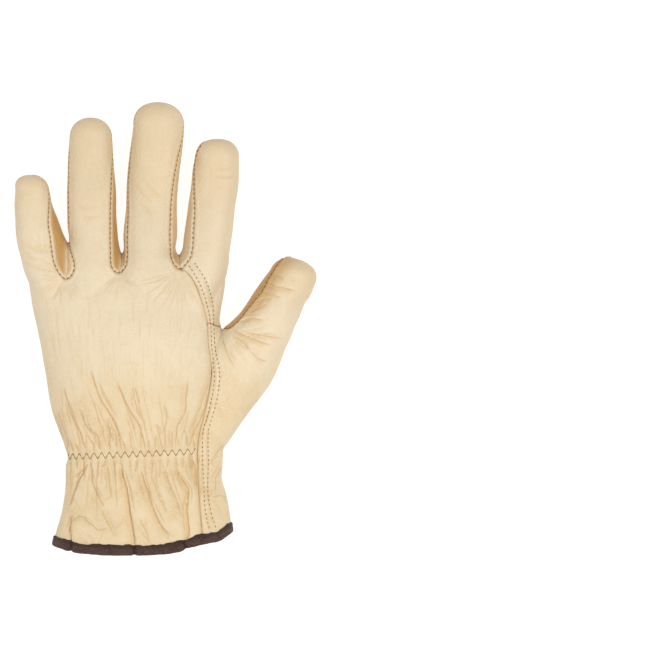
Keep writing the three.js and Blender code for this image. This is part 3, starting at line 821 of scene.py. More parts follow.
def pucker_lines(random):
    """Short creases above each upper peak and below each lower peak."""
    upper, lower = zigzag_peaks()
    lines = []
    sides = ((upper, 1, (5, 15), (-2.4, 0.6)), (lower, -1, (5, 13), (-0.8, 1.6)))
    for peaks, way, reaches, drifts in sides:
        for x in peaks:
            reach, drift = random.uniform(*reaches), random.uniform(*drifts)
            y = elastic_y(x) + way * ZIGZAG_HEIGHT / 2
            spots = [(x, y), (x + drift * 0.4, y + way * reach / 2), (x + drift, y + way * reach)]
            lines.append((random.uniform(0.4, 0.8), random.uniform(0.55, 0.8), spots[::-way]))
    return lines


# Lean of the long creases, which spread out from the gathers. Columns: x, sideways shift per length
LEAN_ABOVE = [(-56, -0.3), (-25, -0.4), (-2, -0.15), (16, 0.4)]
LEAN_BELOW = [(-56, -0.05), (-46, -0.25), (-38, 0), (-25, 0.12), (-10, 0.2), (5, 0.3), (16, 0.1)]


def long_lines(random):
    """Long, thin creases that run from the gathers up the hand and down the cuff."""
    upper, lower = zigzag_peaks()
    lines = []
    for peaks, way, leans, longest in ((upper, 1, LEAN_ABOVE, 46), (lower, -1, LEAN_BELOW, 40)):
        for x in peaks:
            length = random.uniform(12, longest)
            lean = np.interp(x, *zip(*leans)) * length + random.uniform(-2.5, 2.5)
            x, y = x + random.uniform(-1.5, 1.5), elastic_y(x) + way * ZIGZAG_HEIGHT / 2
            spots = [(x + lean * t ** 1.2, y + way * length * t) for t in (0, 0.3, 0.6, 1)]
            lines.append((random.uniform(0.25, 0.75), random.uniform(0.6, 1.1), spots[::-way]))
    return lines


CROSS_COUNT = 34  # wrinkles over the cuff
HAND_COUNT = 44  # wrinkles down the back of the hand


def cross_lines(random):
    """Faint wrinkles that cross each other over the cuff."""
    lines = []
    for _ in range(CROSS_COUNT):
        x, y = random.uniform(-58, 30), random.uniform(-124, -84)
        slant, length = random.choice((-1, 1)) * random.uniform(0.3, 1.0), random.uniform(9, 22)
        bend = random.uniform(-2, 2)
        far_x, far_y = length * math.sin(slant), length * math.cos(slant)
        spots = [(x + far_x * t + bend * (t - t * t) * 4, y - far_y * t) for t in (0, 0.35, 0.7, 1)]
        lines.append((random.uniform(0.1, 0.3), random.uniform(0.45, 0.8), spots))
    return lines


def hand_lines(random):
    """Faint, long wrinkles down the back of the hand, drawn together towards the gathers."""
    lines = []
    for x in np.linspace(-71, 21, HAND_COUNT):
        start = random.uniform(-20, 26)
        end = max(start - random.uniform(18, 50), -62)
        spots = []
        for y in np.linspace(start, end, 4):
            drawn = (26 - y) / 90
            spots.append((x + (-18 - x) * 0.3 * drawn + random.uniform(-0.8, 0.8), y))
        lines.append((random.uniform(0.06, 0.15), random.uniform(0.4, 0.7), spots))
    return lines


def fan_lines(random):
    """Fine wrinkles of every fan, each a little crooked."""
    lines = []
    for x, y, first, last, inner, outer, count, depth in FANS:
        for angle in np.radians(np.linspace(first, last, count)):
            angle += random.uniform(-0.07, 0.07)
            far = outer * random.uniform(0.55, 1.0)
            bend = random.uniform(-0.16, 0.16)
            spots = [(r, angle + bend * (r - inner) / outer) for r in np.linspace(inner, far, 4)]
            lines.append((depth * random.uniform(0.6, 1.2), random.uniform(0.4, 0.7),
                          [(x + r * math.cos(t), y + r * math.sin(t)) for r, t in spots]))
    return lines


def companions(random, folds, count):
    """Shallower creases that run beside each fold for part of its way and drift off it."""
    lines = []
    for depth, width, line in folds:
        path = curve(line, 2.0)
        along = unit(path[-1] - path[0])
        across = np.array([-along[1], along[0]])
        for _ in range(count):
            first = random.uniform(0, 0.45)
            last = first + random.uniform(0.3, 0.55)
            part = path[int(first * len(path)):int(last * len(path)) + 1]
            if len(part) < 4:
                continue
            side = random.choice((-1, 1)) * width
            offset = np.linspace(random.uniform(0.6, 1.2), random.uniform(0.9, 2.2), len(part)) * side
            lines.append((min(0.65, depth * random.uniform(0.3, 0.6)), random.uniform(0.7, 1.0),
                          part + offset[:, None] * across))
    return lines


KINKS = [(7.0, 0.36, 1), (2.4, 0.17, 2)]  # wide and narrow kinks: pitch, swing and start of the noise
CREASE_STEP = 0.9


def crooked(line, seed):
    """A crease's line with the small kinks that leather gives it."""
    path = curve(line, CREASE_STEP)
    steps = np.arange(len(path))[:, None] * CREASE_STEP
    still = np.zeros_like(steps)
    for pitch, swing, turn in KINKS:
        shift = [noise(np.hstack([steps / pitch, still, still + 7.3 * seed]), turn + axis * 9)
                 for axis in (0, 1)]
        path = path + swing * np.column_stack(shift)
    return path


def crease_lines():
    """Every crease: whether it is on the back, its taper, its share of painted shade, its depth, half width
    and line.
    """
    random = np.random.default_rng(SEED)
    groups = [
        (True, 0.12, 0.9, FOLDS), (True, 0.25, 0.7, THUMB_FOLDS),
        (True, 0.3, 0.65, companions(random, FOLDS, 2)),
        (True, 0.3, 0.5, companions(random, THUMB_FOLDS, 2)),
        (True, 0.25, 0.8, pucker_lines(random)), (True, 0.3, 0.6, long_lines(random)),
        (True, 0.3, 0.24, fan_lines(random)), (True, 0.35, 0.22, hand_lines(random)),
        (True, 0.35, 0.4, cross_lines(random)),
        (True, 0.3, 0.3, JOINT_FOLDS), (True, 0.3, 0.3, companions(random, JOINT_FOLDS, 2)),
        (False, 0.3, 0.4, PALM_FOLDS), (False, 0.3, 0.3, companions(random, PALM_FOLDS, 1)),
    ]
    found = []
    for on_back, taper, painted_shade_share, lines in groups:
        for depth, width, line in lines:
            found.append((on_back, taper, painted_shade_share, depth, width, crooked(line, len(found))))
    return found


CORE = 0.3  # half width of the painted dark line of shade at the bottom of a crease
CORE_ROW = 0.42  # a row of points is laid this far from the middle of every deeper crease
ROW_DEPTH = 0.19  # share of painted shade times depth of the creases that get such rows


def middle_distance(points, lines, on_back):
    """Distance seen from above to the nearest of the deeper creases of one side, signed by its side."""
    side = np.where((points[:, 2] > BACK_FROM) == on_back)[0]
    best = np.full(len(points), 2.0)
    for line in [line for back, _, painted_shade_share, depth, _, line in lines
                 if back == on_back and painted_shade_share * depth > ROW_DEPTH]:
        low, high = line.min(0) - 2, line.max(0) + 2
        near = side[((points[side, :2] > low) & (points[side, :2] < high)).all(1)]
        away, _ = near_line(points[near, :2], line, 2.0)
        closer = np.abs(away) < np.abs(best[near])
        best[near[closer]] = away[closer]
    return best


def crease_rows(points, faces, labels, lines):
    """Lays rows of points down the middle of every deeper crease and beside it, so that it stays sharp."""
    for on_back in (True, False):
        points, faces, labels, _ = cut(points, faces, middle_distance(points, lines, on_back), labels)
        beside = np.abs(middle_distance(points, lines, on_back)) - CORE_ROW
        points, faces, labels, _ = cut(points, faces, beside, labels)
    return points, faces, labels


LIP = 0.45  # over which the leather steps up to the proud side of a crease
CREASE_REACH = 4.5  # half widths from a crease's middle to where it ends
CLEFT = 0.35  # depth of the narrow cleft, in a crease of depth 1
TROUGH = (0.3, 1.4)  # depth of the soft trough round it, and its half widths
PROUD = (0.46, 1.8)  # height of the proud side, and the half widths over which it falls off


def valley(points, taper, depth, width, line):
    """Height of a crease: a narrow cleft whose left side stands proud, fading at both ends. Also how
    near its middle line each point is, for the painted dark core of shade, and how far into the painted
    shade of its proud side, from 0 to 1."""
    reach = CREASE_REACH * width
    away, along = near_line(points[:, :2], line, reach)
    off = np.abs(away)
    fade = ramp(along, 0, taper) * ramp(1 - along, 0, taper) * ramp(reach - off, 0, width)
    cleft = -CLEFT * np.exp(-(off / LIP) ** 1.2) - TROUGH[0] * bell(off, 0, TROUGH[1] * width)
    lip = PROUD[0] * np.tanh(away / LIP) * np.exp(-off / (PROUD[1] * width))
    # painted shade: the dark core line down the crease, and the band in the shade of its proud side
    core = bell(away, 0, CORE) * min(1, 0.45 + 0.5 * depth)
    band = np.exp(-off / (1.3 * width * (1 + 0.15 * depth)))
    shaded = fade * band * (away < 0.2) * min(1, 0.3 + 0.5 * depth)
    return depth * fade * (cleft + lip), np.sqrt(fade) * core, shaded


def wrinkles(points, stretch, cell, seed):
    """Fine, sharp wrinkles that run along one direction, from 0 to 1."""
    places = points / (np.asarray(stretch) * cell)
    places = places + 0.35 * noise(points / 9, seed + 1)[:, None]
    return (1 - np.abs(noise(places, seed))) ** 5


# Soft waves of the hand, of all the leather and of the cuff. Columns: height, cell of the noise, seed
WAVES = [(0.45, (13, 30, 30), 3), (0.14, (6, 11, 11), 5), (0.5, (6, 17, 17), 7)]
# Fine wrinkles, first those that are stronger on the hand. Columns: height, stretch, cell, seed
WRINKLES = [(0.06, (1, 3.5, 2), 1.9, 21), (0.04, (1.5, 1, 1), 2.2, 33)]


def leather_relief(points, normals, lines):
    """Height of folds, wrinkles and soft waves at each point, how much painted shade the core of a crease
    gives it, and its painted shade beside a fold.
    """
    height, crease, shaded = (np.zeros(len(points)) for _ in range(3))
    sides = {True: np.where(points[:, 2] > BACK_FROM)[0],
             False: np.where(points[:, 2] < BACK_FROM - 1)[0]}
    level = ramp(np.abs(normals[:, 2]), 0.12, 0.45)
    for on_back, taper, painted_shade_share, depth, width, line in lines:
        where, reach = sides[on_back], CREASE_REACH * width
        flat = points[where, :2]
        where = where[((flat > line.min(0) - reach) & (flat < line.max(0) + reach)).all(1)]
        rise, deep, dim = valley(points[where], taper, depth, width, line)
        height[where] += rise * level[where]
        crease[where] = np.maximum(crease[where], deep * painted_shade_share * level[where])
        shaded[where] = np.maximum(shaded[where], dim * level[where])
    up = np.clip(normals[:, 2], 0, 1)
    on_hand = ramp(points[:, 1], 45, 15)
    cuff = bell(points[:, 1], ELASTIC_Y - 8, 38)
    for amount, (high, cell, seed) in zip((on_hand * up, 1, cuff * up), WAVES):
        height += high * noise(points / cell, seed) * amount
    for amount, (high, stretch, cell, seed) in zip((0.3 + on_hand * up, 1), WRINKLES):
        height -= high * wrinkles(points, stretch, cell, seed) * amount
    return height, crease, shaded


PUFF_ABOVE = (0.24, 8)  # height of the puffs above the zigzag, and how far they run
PUFF_BELOW = (0.34, 11)  # and below it
PUFF_ROUND = 0.8  # roundness of a puff, where less is rounder
PUFF_FADE = 2.5  # over which the puffs start on both sides of the zigzag
ELASTIC_PULL = 0.9  # how deep the elastic draws the leather in
ELASTIC_WIDTH = 3.2
PALM_PULL = 0.25  # share of it that reaches the palm side


def gather_relief(points):
    """Leather drawn in along the zigzag and puffed between its puckers."""
    across, length = girth_arc()
    place = np.interp(points[:, 0], across, length)
    away = points[:, 1] - elastic_y(points[:, 0])
    upper, _ = zigzag_peaks()
    start = np.interp(upper[0], across, length)
    turn = math.pi * (place - start) / PUCKER_PITCH
    puff = 0
    for way, wave, (high, reach) in ((away, np.sin(turn), PUFF_ABOVE), (-away, np.cos(turn), PUFF_BELOW)):
        rounded = 2 * np.abs(wave) ** PUFF_ROUND - 1
        puff = puff + high * (ramp(way, -PUFF_FADE, PUFF_FADE) * rounded * bell(away, 0, reach))
    drawn = -ELASTIC_PULL * np.exp(-(away / ELASTIC_WIDTH) ** 2)
    on_back = (points[:, 2] > BACK_FROM) & (points[:, 0] < GATHERS[1])
    return np.where(on_back, puff + drawn, PALM_PULL * drawn)


def zigzag_line():
    """The zigzag as one line through its peaks, seen from above."""
    upper, lower = zigzag_peaks()
    places = []
    for high, low in zip(upper, lower):
        places.append((high, elastic_y(high) + ZIGZAG_HEIGHT / 2))
        places.append((low, elastic_y(low) - ZIGZAG_HEIGHT / 2))
    return np.array(places[:-1])


LAP_RISE = 0.75  # how far the upper layer of the lapped seam stands proud
LAP_INNER_ROW = [
    (14, 36.2), (19.7, 26.9), (24.3, 14.2), (26.6, 2), (27.2, -10), (29, -31), (26.4, -45.5), (22.2, -62),
    (22, -73), (23, -95), (23.8, -106.5), (26.3, -117.5),
]
LAP_OUTER_ROW = [
    (17.1, 38), (24.4, 26), (27.8, 15), (28.4, 2), (29, -9.5), (32.1, -27.3), (30.7, -40), (25.2, -62.4),
    (25.3, -76), (25.6, -100), (27.9, -110), (30, -116.3),
]


# Section across each kind of seam, as humps and grooves. Columns: height, distance off the seam, width
SEAM_PROFILES = {
    "plain": [(-0.4, 0, 0.45), (0.36, 1.8, 1.2)],
    "crotch": [(-0.2, 0, 0.4)],
    "base": [(-0.75, 0, 0.5), (0.3, 1.6, 1.1)],
    "outer_edge": [(-0.6, 0, 0.5), (0.15, 1.4, 0.9)],
    "welt": [(-0.35, 0, 0.3), (0.6, 0.8, 0.6), (-0.4, 2.1, 0.6)],
}
UNDER_LAP = [(0.45, 1.2), (0.25, 4)]  # how deep the lower layer is pressed, and over what distance
LAP_EDGE = 0.8  # over which the edge of the upper layer is rounded
LAP_EDGE_DROP = 1.1
LAP_LEVEL = 3  # width over which the upper layer stands proud in full
ROW_GROOVE = (0.32, 0.55)  # depth and width of the groove that each row of stitches draws


def seam_relief(points, away, label):
    """Height that the seams add on one panel."""
    height = np.zeros(len(points))
    for kind, profile in SEAM_PROFILES.items():
        for high, off, width in profile:
            height += high * bell(away[kind], off, width)
    lapped = away["lapped"]
    if PANELS[label] == "back_panel":
        return height - sum(deep * np.exp(-lapped / reach) for deep, reach in UNDER_LAP)
    edge_round = np.clip(lapped / LAP_EDGE, 0, 1)
    lap = LAP_RISE * (1 - ramp(lapped, LAP_LEVEL, SEAM_REACH))
    lap -= LAP_EDGE_DROP * (1 - np.sqrt(1 - (1 - edge_round) ** 2))
    deep, width = ROW_GROOVE
    for row in (LAP_INNER_ROW, LAP_OUTER_ROW):
        off, _ = near_line(points[:, :2], curve(row), 3)
        lap -= deep * bell(off, 0, width) * (points[:, 2] > GIRTH_HEIGHT)
    return height + np.where(lapped < SEAM_REACH, lap, 0)


# The dressed skin, panel by panel

FLOOR_PLAY = 0.02  # height of the lowest leather above the table


def drop_on(tree, line):
    """Places and normals where points of a plan line meet the surface from above."""
    hits = []
    for x, y in line:
        place, normal, _, _ = tree.ray_cast(Vector((x, y, ABOVE)), Vector((0, 0, -1)))
        if place is not None:
            hits.append((tuple(place), tuple(normal)))
    places, normals = zip(*hits)
    return np.array(places), np.array(normals)


def tree_of(points, faces):
    return BVHTree.FromPolygons(points.tolist(), faces.tolist())


def dressed_skin():
    """Cut skin with every fold and seam in it: the points of every panel, and what its leather needs."""
    points, faces = joined_skin()
    points = relaxed(points, faces, RELAX_ROUNDS)
    knuckles = bell(points[:, 1], KNUCKLES["y"], KNUCKLES["width"])
    knuckles *= ramp(points[:, 2], KNUCKLES["from"], KNUCKLES["to"]) * (points[:, 0] < KNUCKLES["right"])
    points = relaxed(points, faces, KNUCKLES["rounds"], knuckles)
    tree = tree_of(points, faces)
    side_seam, _ = drop_on(tree, curve(INDEX_SIDE_SEAM))
    points, faces, labels = cut_panels(points, faces)
    seams = panel_seams(points, faces, labels)
    away = seam_distances(points, seams, side_seam)
    nearest = np.minimum.reduce(list(away.values()))
    points, faces, labels, _ = cut(points, faces, nearest - EDGE_ROW, labels)
    lines = crease_lines()
    points, faces, labels = crease_rows(points, faces, labels, lines)
    away = seam_distances(points, seams, side_seam)
    normals = normals_of(points, faces)
    height, crease, shaded = leather_relief(points, normals, lines)
    height += gather_relief(points)
    return {"points": points, "faces": faces, "labels": labels, "normals": normals, "away": away,
            "height": height, "crease": crease, "shaded": shaded, "seams": seams}


def panel_part(skin, number):
    """Indices, faces and shaped points of one panel."""
    own = skin["faces"][skin["labels"] == number]
    used, faces = np.unique(own, return_inverse=True)
    faces = faces.reshape(-1, 3)
    away = {kind: values[used] for kind, values in skin["away"].items()}
    height = skin["height"][used] + seam_relief(skin["points"][used], away, number)
    return used, faces, height


def rim_edges(faces):
    """Directed edges that only one face has."""
    pairs = face_edges(faces)
    _, first, count = np.unique(np.sort(pairs, axis=1), axis=0, return_index=True, return_counts=True)
    return pairs[first[count == 1]]


WALL_REACH = 9.0  # from the middle of a gap between two fingers to the back of the next finger
WALL_FADE = 2.5  # over which the painted golden shade begins
WALL_FOOT = (1, 7)  # heights between which it rises off the table
THUMB_WALL = [(41.9, 3.2), (49.6, 12.5), (56.7, 21.8), (59.5, 27.6), (63, 32.8), (70.5, 41.3), (74, 46)]


def side_wall_shade(points, number, seam):
    """How much golden shade is painted on the walls between the fingers and on the inner side of the thumb.
    """
    flat, name = points[:, :2], PANELS[number]
    if name == "back_panel":
        return np.zeros(len(points))
    foot = ramp(points[:, 2], *WALL_FOOT)
    thumb, _ = near_line(flat, curve(THUMB_WALL, 2), WALL_REACH)
    if name == "thumb_panel":
        return 0.7 * ramp(np.abs(thumb), WALL_REACH + 2, 0) * ramp(points[:, 1], 2, 14)
    lines = [curve(line, 2) for line in GAP_LINES.values()]
    off = np.minimum.reduce([np.abs(near_line(flat, line, WALL_REACH)[0]) for line in lines])
    paler_at_seam = foot * (1 - 0.85 * bell(seam, 0, 1.9))
    wall = ramp(off, WALL_REACH, WALL_REACH - WALL_FADE) * paler_at_seam
    if name == "middle_finger_front":
        return wall * (0.2 + 0.7 * ramp(points[:, 1], 46, 40))
    if name == "ring_finger_front":
        return wall * ramp(points[:, 0], -46, -40)
    wall *= 1 - 0.9 * (points[:, 0] > 0)
    return np.maximum(wall, ramp(np.abs(thumb), WALL_REACH, WALL_REACH - WALL_FADE) * foot)


INDEX_WALL = {"x": 13, "far": 9, "near": 5, "from": 29, "to": 36}


def index_wall(points, number):
    """1 on the wall of the index finger that faces the middle finger, 0 elsewhere."""
    near = ramp(np.abs(points[:, 0] - INDEX_WALL["x"]), INDEX_WALL["far"], INDEX_WALL["near"])
    near = near * ramp(points[:, 1], INDEX_WALL["from"], INDEX_WALL["to"])
    return near * (PANELS[number] == "palm_panel")


ROOTS = [(-58, 31), (-26.5, 31), (9.5, 33), (36, -4)]  # roots of the gaps, where the leather crinkles


def crinkling(points, wall):
    """How finely creased the leather is: most in the cuff, the gathers and at the roots of the gaps."""
    low = ramp(points[:, 1], 14, -64) * (0.5 + 0.5 * ramp(points[:, 2], 3, 12))
    off = np.minimum.reduce([np.hypot(points[:, 0] - x, points[:, 1] - y) for x, y in ROOTS])
    return np.maximum(np.maximum(low, 0.6 * wall), 0.12 + 0.2 * ramp(off, 26, 4))


def tip_shade(points):
    """How much painted shade darkens the colour, from 0 on the hand to 1 at the fingertips."""
    x, y = points[:, 0], points[:, 1]
    return np.where(x > 48, ramp(x + y, 80, 112), ramp(y, 30, 95))


TAPE_FADE = 0.6  # half the width over which the leather reaches its full thickness past the tape
TAPE_PINCH = 0.55  # share of its thickness that the leather loses under the tape


def panel_object(number, skin, placed):
    """One panel: its outer face, its cut edges and its inner face."""
    used, faces, height = panel_part(skin, number)
    normals = skin["normals"][used]
    points = skin["points"][used] + normals * height[:, None]
    rim = rim_edges(faces)
    points[:, 2] = np.maximum(points[:, 2], FLOOR_PLAY)
    placed[used] = points
    lower = points[rim] - normals[rim] * LEATHER
    start = len(points)
    count = len(rim)
    low_a, low_b = start + np.arange(count), start + count + np.arange(count)
    rim_faces = np.vstack([
        np.column_stack([rim[:, 1], rim[:, 0], low_a]), np.column_stack([rim[:, 1], low_a, low_b])])
    smooth = skin["points"][used]
    under_tape = ramp(hem_field(smooth), TAPE_COVER + TAPE_FADE, TAPE_COVER - TAPE_FADE)
    depth = LEATHER * (1 - TAPE_PINCH * under_tape)
    in_points, in_faces = modified(
        "inner_skin", points - normals * depth[:, None], faces.tolist(), "DECIMATE", ratio=INNER_SHARE)
    in_start = start + 2 * count
    every_point = np.vstack([points, lower[:, 0], lower[:, 1], in_points])
    every_point[start:, 2] = np.maximum(every_point[start:, 2], LEATHER)
    every_face = np.vstack([faces, rim_faces, in_start + in_faces[:, ::-1]])
    nearest = np.minimum.reduce([values[used] for values in skin["away"].values()])
    wall = side_wall_shade(smooth, number, nearest)
    # painted shade on steep sides, stronger on the wall of the index finger
    steep_shade = ramp(np.abs(normals[:, 2]), 0.8, 0.1) * (0.3 + 0.6 * index_wall(smooth, number))
    # Painted shade: in seam grooves, at fingertips, beside seams, in creases, on gap walls, in hollows.
    looks = {
        "groove_shade": bell(nearest, 0, 0.35) * np.where(skin["away"]["lapped"][used] < 1, 0.5, 1),
        "tip_shade": tip_shade(smooth),
        "beside": np.exp(-nearest / 2.2),
        "crease": skin["crease"][used],
        "wall": wall,
        "hollow_shade": np.maximum(skin["shaded"][used], steep_shade),
        "crinkle": crinkling(smooth, wall),
    }
    hidden = len(every_point) - start
    looks = {key: np.concatenate([values, np.zeros(hidden)]) for key, values in looks.items()}
    looks["inside"] = np.concatenate([np.zeros(start), np.ones(hidden)])
    return add_piece(PANELS[number] + "_leather", every_point, every_face, looks)


def add_piece(name, points, faces, values=None):
    """Smooth-shaded object from points in millimetres, with named values for its material."""
    mesh = bpy.data.meshes.new(name)
    points = np.array(points)
    points[:, 2] = np.maximum(points[:, 2], 0)
    placed = (points + ORIGIN_SHIFT) / METRE
    faces = np.asarray(faces)
    mesh.vertices.add(len(placed))
    mesh.vertices.foreach_set("co", placed.ravel())
    mesh.loops.add(faces.size)
    mesh.loops.foreach_set("vertex_index", faces.ravel())
    mesh.polygons.add(len(faces))
    mesh.polygons.foreach_set("loop_start", np.arange(len(faces)) * faces.shape[1])
    mesh.update(calc_edges=True)
    mesh.validate()
    mesh.shade_smooth()
    for key, data in (values or {}).items():
        layer = mesh.attributes.new(key, "FLOAT", "POINT")
        layer.data.foreach_set("value", np.asarray(data, np.float32))
    return object_of(name, mesh)


# Binding tape

def boundary_loop(faces):
    """The longest loop of edges that only one face has, in order, with the leather on its left."""
    following = dict(map(tuple, rim_edges(faces)))
    loops = []
    while following:
        loop = [next(iter(following))]
        while loop[-1] in following:
            loop.append(following.pop(loop[-1]))
        loops.append(loop[:-1])
    return max(loops, key=len)


def evened(loop, rounds):
    """A closed row of vectors, smoothed along itself."""
    for _ in range(rounds):
        loop = loop / 2 + (np.roll(loop, 1, axis=0) + np.roll(loop, -1, axis=0)) / 4
    return loop


def resampled(loop, others, step):
    """A closed line with points at even steps, other rows read at the same places, and the places."""
    closed = [np.vstack([rows, rows[:1]]) for rows in (loop, *others)]
    length = run_along(closed[0])
    where = np.linspace(0, length[-1], int(length[-1] / step), endpoint=False)
    return [read_along(rows, length, where) for rows in closed], where


# Section of the folded tape. Columns: share of its cover, distance past the edge, height off the leather
TAPE_SECTION = [
    (1.0, 0, 0.1), (0.98, 0, 0.62), (0.86, 0, 0.92), (0.6, 0, 0.86), (0.42, 0, 0.98), (0.2, 0, 0.9),
    (0, 0, 0.98), (0, 0.55, 0.72), (0, 0.9, 0.1), (0, 0.95, -0.65), (0, 0.9, -1.4), (0, 0.5, -2.05),
    (0.2, 0, -2.25), (0.6, 0, -2.2), (0.96, 0, -2.1), (1.0, 0, -1.45), (0.5, 0, -1.38), (0, 0.12, -1.3),
    (0, 0.14, 0.04), (0.5, 0, 0.06),
]
TAPE_STEP = 0.5
CORNER_REACH = 6.0  # over which the tape's cover changes from the hem to the vent
TAPE_KINKS = (-54, -17, 12.5)  # x where a fold of the cuff dents the tape
KINK_DEPTH = 0.8


def tape_path(skin, placed):
    """The tape's path round the hem and up both edges of the vent, with its normals."""
    loop = boundary_loop(skin["faces"])
    points = evened(placed[loop], 10)
    normals = evened(skin["normals"][loop], 40)
    (points, normals), along = resampled(points, [normals], TAPE_STEP)
    points = evened(points, 3)
    tangents = np.roll(points, -1, axis=0) - np.roll(points, 1, axis=0)
    inward = unit(np.cross(unit(normals), unit(tangents)))
    return points, unit(normals), inward, along


def tape_cover(points, along):
    """How far the tape reaches onto the leather along its path."""
    on_vent = (points[:, 0] < VENT["reach"]) & (hem_field(points) > 2.0) & (points[:, 2] < GIRTH_HEIGHT)
    marked = along[on_vent]
    total = along[-1] + TAPE_STEP
    off = np.abs(along[:, None] - marked[None, :])
    off = np.minimum(off, total - off).min(axis=1)
    cover = VENT_COVER + (TAPE_COVER - VENT_COVER) * ramp(off, 0, CORNER_REACH)
    places = np.column_stack([along, np.zeros(len(along)), np.zeros(len(along))])
    return cover * (1 + 0.08 * noise(places / 7, 51) + 0.07 * noise(places / 2.0, 52))


def binding(skin, placed, tree):
    """Ribbed tape folded over the hem and both edges of the vent."""
    points, normals, inward, along = tape_path(skin, placed)
    cover = tape_cover(points, along)
    kinks = sum(bell(points[:, 0], x, 1.1) for x in TAPE_KINKS) * (points[:, 2] > GIRTH_HEIGHT)
    loose = 1 + 0.3 * noise(points / 3, 62) - KINK_DEPTH * kinks
    rings, across = [], []
    for share, past, height in TAPE_SECTION:
        ring = points + inward * (share * cover - past * loose)[:, None]
        lean = normals
        if share:
            hits = [tree.find_nearest(Vector(p)) for p in ring]
            ring = np.array([tuple(hit[0]) for hit in hits])
            lean = unit(evened(np.array([tuple(hit[1]) for hit in hits]), 4) + normals)
        bumps = 0.2 * noise(ring / 1.6, 60) + 0.14 * noise(ring / 4, 61) - KINK_DEPTH * kinks
        rings.append(ring + lean * (height + bumps * (height > 0.3))[:, None])
        across.append(share * cover - past)
    count, columns = len(points), len(TAPE_SECTION)
    body = np.stack(rings, axis=1)
    body = np.stack([evened(body[:, i], 1) for i in range(columns)], axis=1)
    body[:, :, 2] = np.maximum(body[:, :, 2], FLOOR_PLAY)
    index = np.arange(count * columns).reshape(count, columns)
    after = np.roll(index, -1, axis=0)
    beside = np.roll(index, -1, axis=1)
    both = np.roll(after, -1, axis=1)
    faces = np.stack([index, after, both, beside], axis=-1).reshape(-1, 4)
    return add_piece("cuff_tape", body.reshape(-1, 3), faces, {
        "along": np.repeat(along, columns), "across": np.stack(across, axis=1).ravel(),
        "kink_shade": np.repeat(kinks, columns)})


# Stitches

# Shape of one stitch. Columns: place along it, thickness, height
STITCH_SHAPE = [
    (-0.5, 0.25, -0.9), (-0.43, 0.75, -0.3), (-0.25, 0.98, 0.1), (0, 1.0, 0.2), (0.25, 0.98, 0.1),
    (0.43, 0.75, -0.3), (0.5, 0.25, -0.9),
]
STITCH_SIDES = 6


def stitch_pieces(middles, tangents, normals, length, radius):
    """Points and faces of many stitches, each arched with both ends sunk in the leather."""
    tangents = unit(tangents)
    normals = unit(normals - tangents * (normals * tangents).sum(1, keepdims=True))
    sideways = np.cross(normals, tangents)
    turn = np.linspace(0, 2 * math.pi, STITCH_SIDES, endpoint=False)
    rings = []
    for place, thick, high in STITCH_SHAPE:
        for angle in turn:
            rings.append(
                middles + tangents * (place * length)
                + normals * (radius * (high + thick * math.sin(angle)))
                + sideways * (radius * thick * math.cos(angle)))
    points = np.stack(rings, axis=1)
    count, each = points.shape[:2]
    quads = tube_faces(len(STITCH_SHAPE), STITCH_SIDES)
    last = each - STITCH_SIDES
    for a, b, c, d in ((0, 1, 2, 3), (0, 3, 4, 5)):
        quads.append((d, c, b, a))
        quads.append((last + a, last + b, last + c, last + d))
    quads = np.array(quads)
    faces = (quads[None] + (np.arange(count) * each)[:, None, None]).reshape(-1, 4)
    return points.reshape(-1, 3), faces


def merged(parts):
    """Points and faces of several parts as one."""
    points, faces, start = [], [], 0
    for part_points, part_faces in parts:
        points.append(part_points)
        faces.append(part_faces + start)
        start += len(part_points)
    return np.vstack(points), np.vstack(faces)


# Stitches along each kind of seam. Columns: step, length, lift, share by which they lie across the seam
SEAM_STITCHES = {
    "plain": (2.9, 1.5, 0.3, 0.0),
    "base": (2.9, 1.6, 0.3, 0.0),
    "outer_edge": (2.9, 1.4, 0.25, 0.0),
    "welt": (2.4, 2.3, 0.45, 0.85),
    "lapped": (2.62, 1.45, 0.16, 0.0),
}
THREAD = 0.21  # radius of the sewing thread


def stitches_along(places, normals, step, length, lift, across):
    """Stitches along a row of places on the leather, or laid across it like the rungs of a ladder."""
    run = run_along(places)
    where = np.arange(step / 2, max(run[-1] - step / 3, step), step)
    first, middle, last = (read_along(places, run, where + shift * length) for shift in (-0.5, 0, 0.5))
    tangent = unit(last - first)
    normal = unit(read_along(normals, run, where))
    tangent = tangent * (1 - across) + np.cross(normal, tangent) * across
    return stitch_pieces(middle + normal * lift, tangent, normal, length, THREAD)


def chained(edges):
    """Runs of points along edges that share ends, each from one end or junction to the next."""
    beside = {}
    for a, b in edges.tolist():
        beside.setdefault(a, []).append(b)
        beside.setdefault(b, []).append(a)
    used, runs = set(), []
    for start in sorted(beside, key=lambda point: len(beside[point]) == 2):
        for second in beside[start]:
            run, following = [start], second
            while following is not None:
                used.add(frozenset((run[-1], following)))
                run.append(following)
                free = [point for point in beside[run[-1]] if frozenset((run[-1], point)) not in used]
                following = free[0] if free and len(beside[run[-1]]) == 2 else None
            if len(run) > 4:
                runs.append(run)
    return runs


def eased(rows, rounds):
    """An open row of vectors, smoothed along itself."""
    for _ in range(rounds):
        rows = np.vstack([rows[:1], rows[1:-1] / 2 + (rows[:-2] + rows[2:]) / 4, rows[-1:]])
    return rows


def seam_stitches(skin, placed, kinds):
    """Short stitches that follow the seams of the given kinds wherever they go."""
    parts = []
    for kind in kinds:
        for run in chained(skin["seams"][kind]):
            places, normals = eased(placed[run], 4), unit(eased(skin["normals"][run], 12))
            parts.append(stitches_along(places, normals, *SEAM_STITCHES[kind]))
    return merged(parts)


def row_stitches(tree, rows, kind):
    """Rows of stitches along plan lines, laid on the back of the leather."""
    lines = [drop_on(tree, curve(row, 0.3)) for row in rows]
    return merged([stitches_along(*line, *SEAM_STITCHES[kind]) for line in lines])


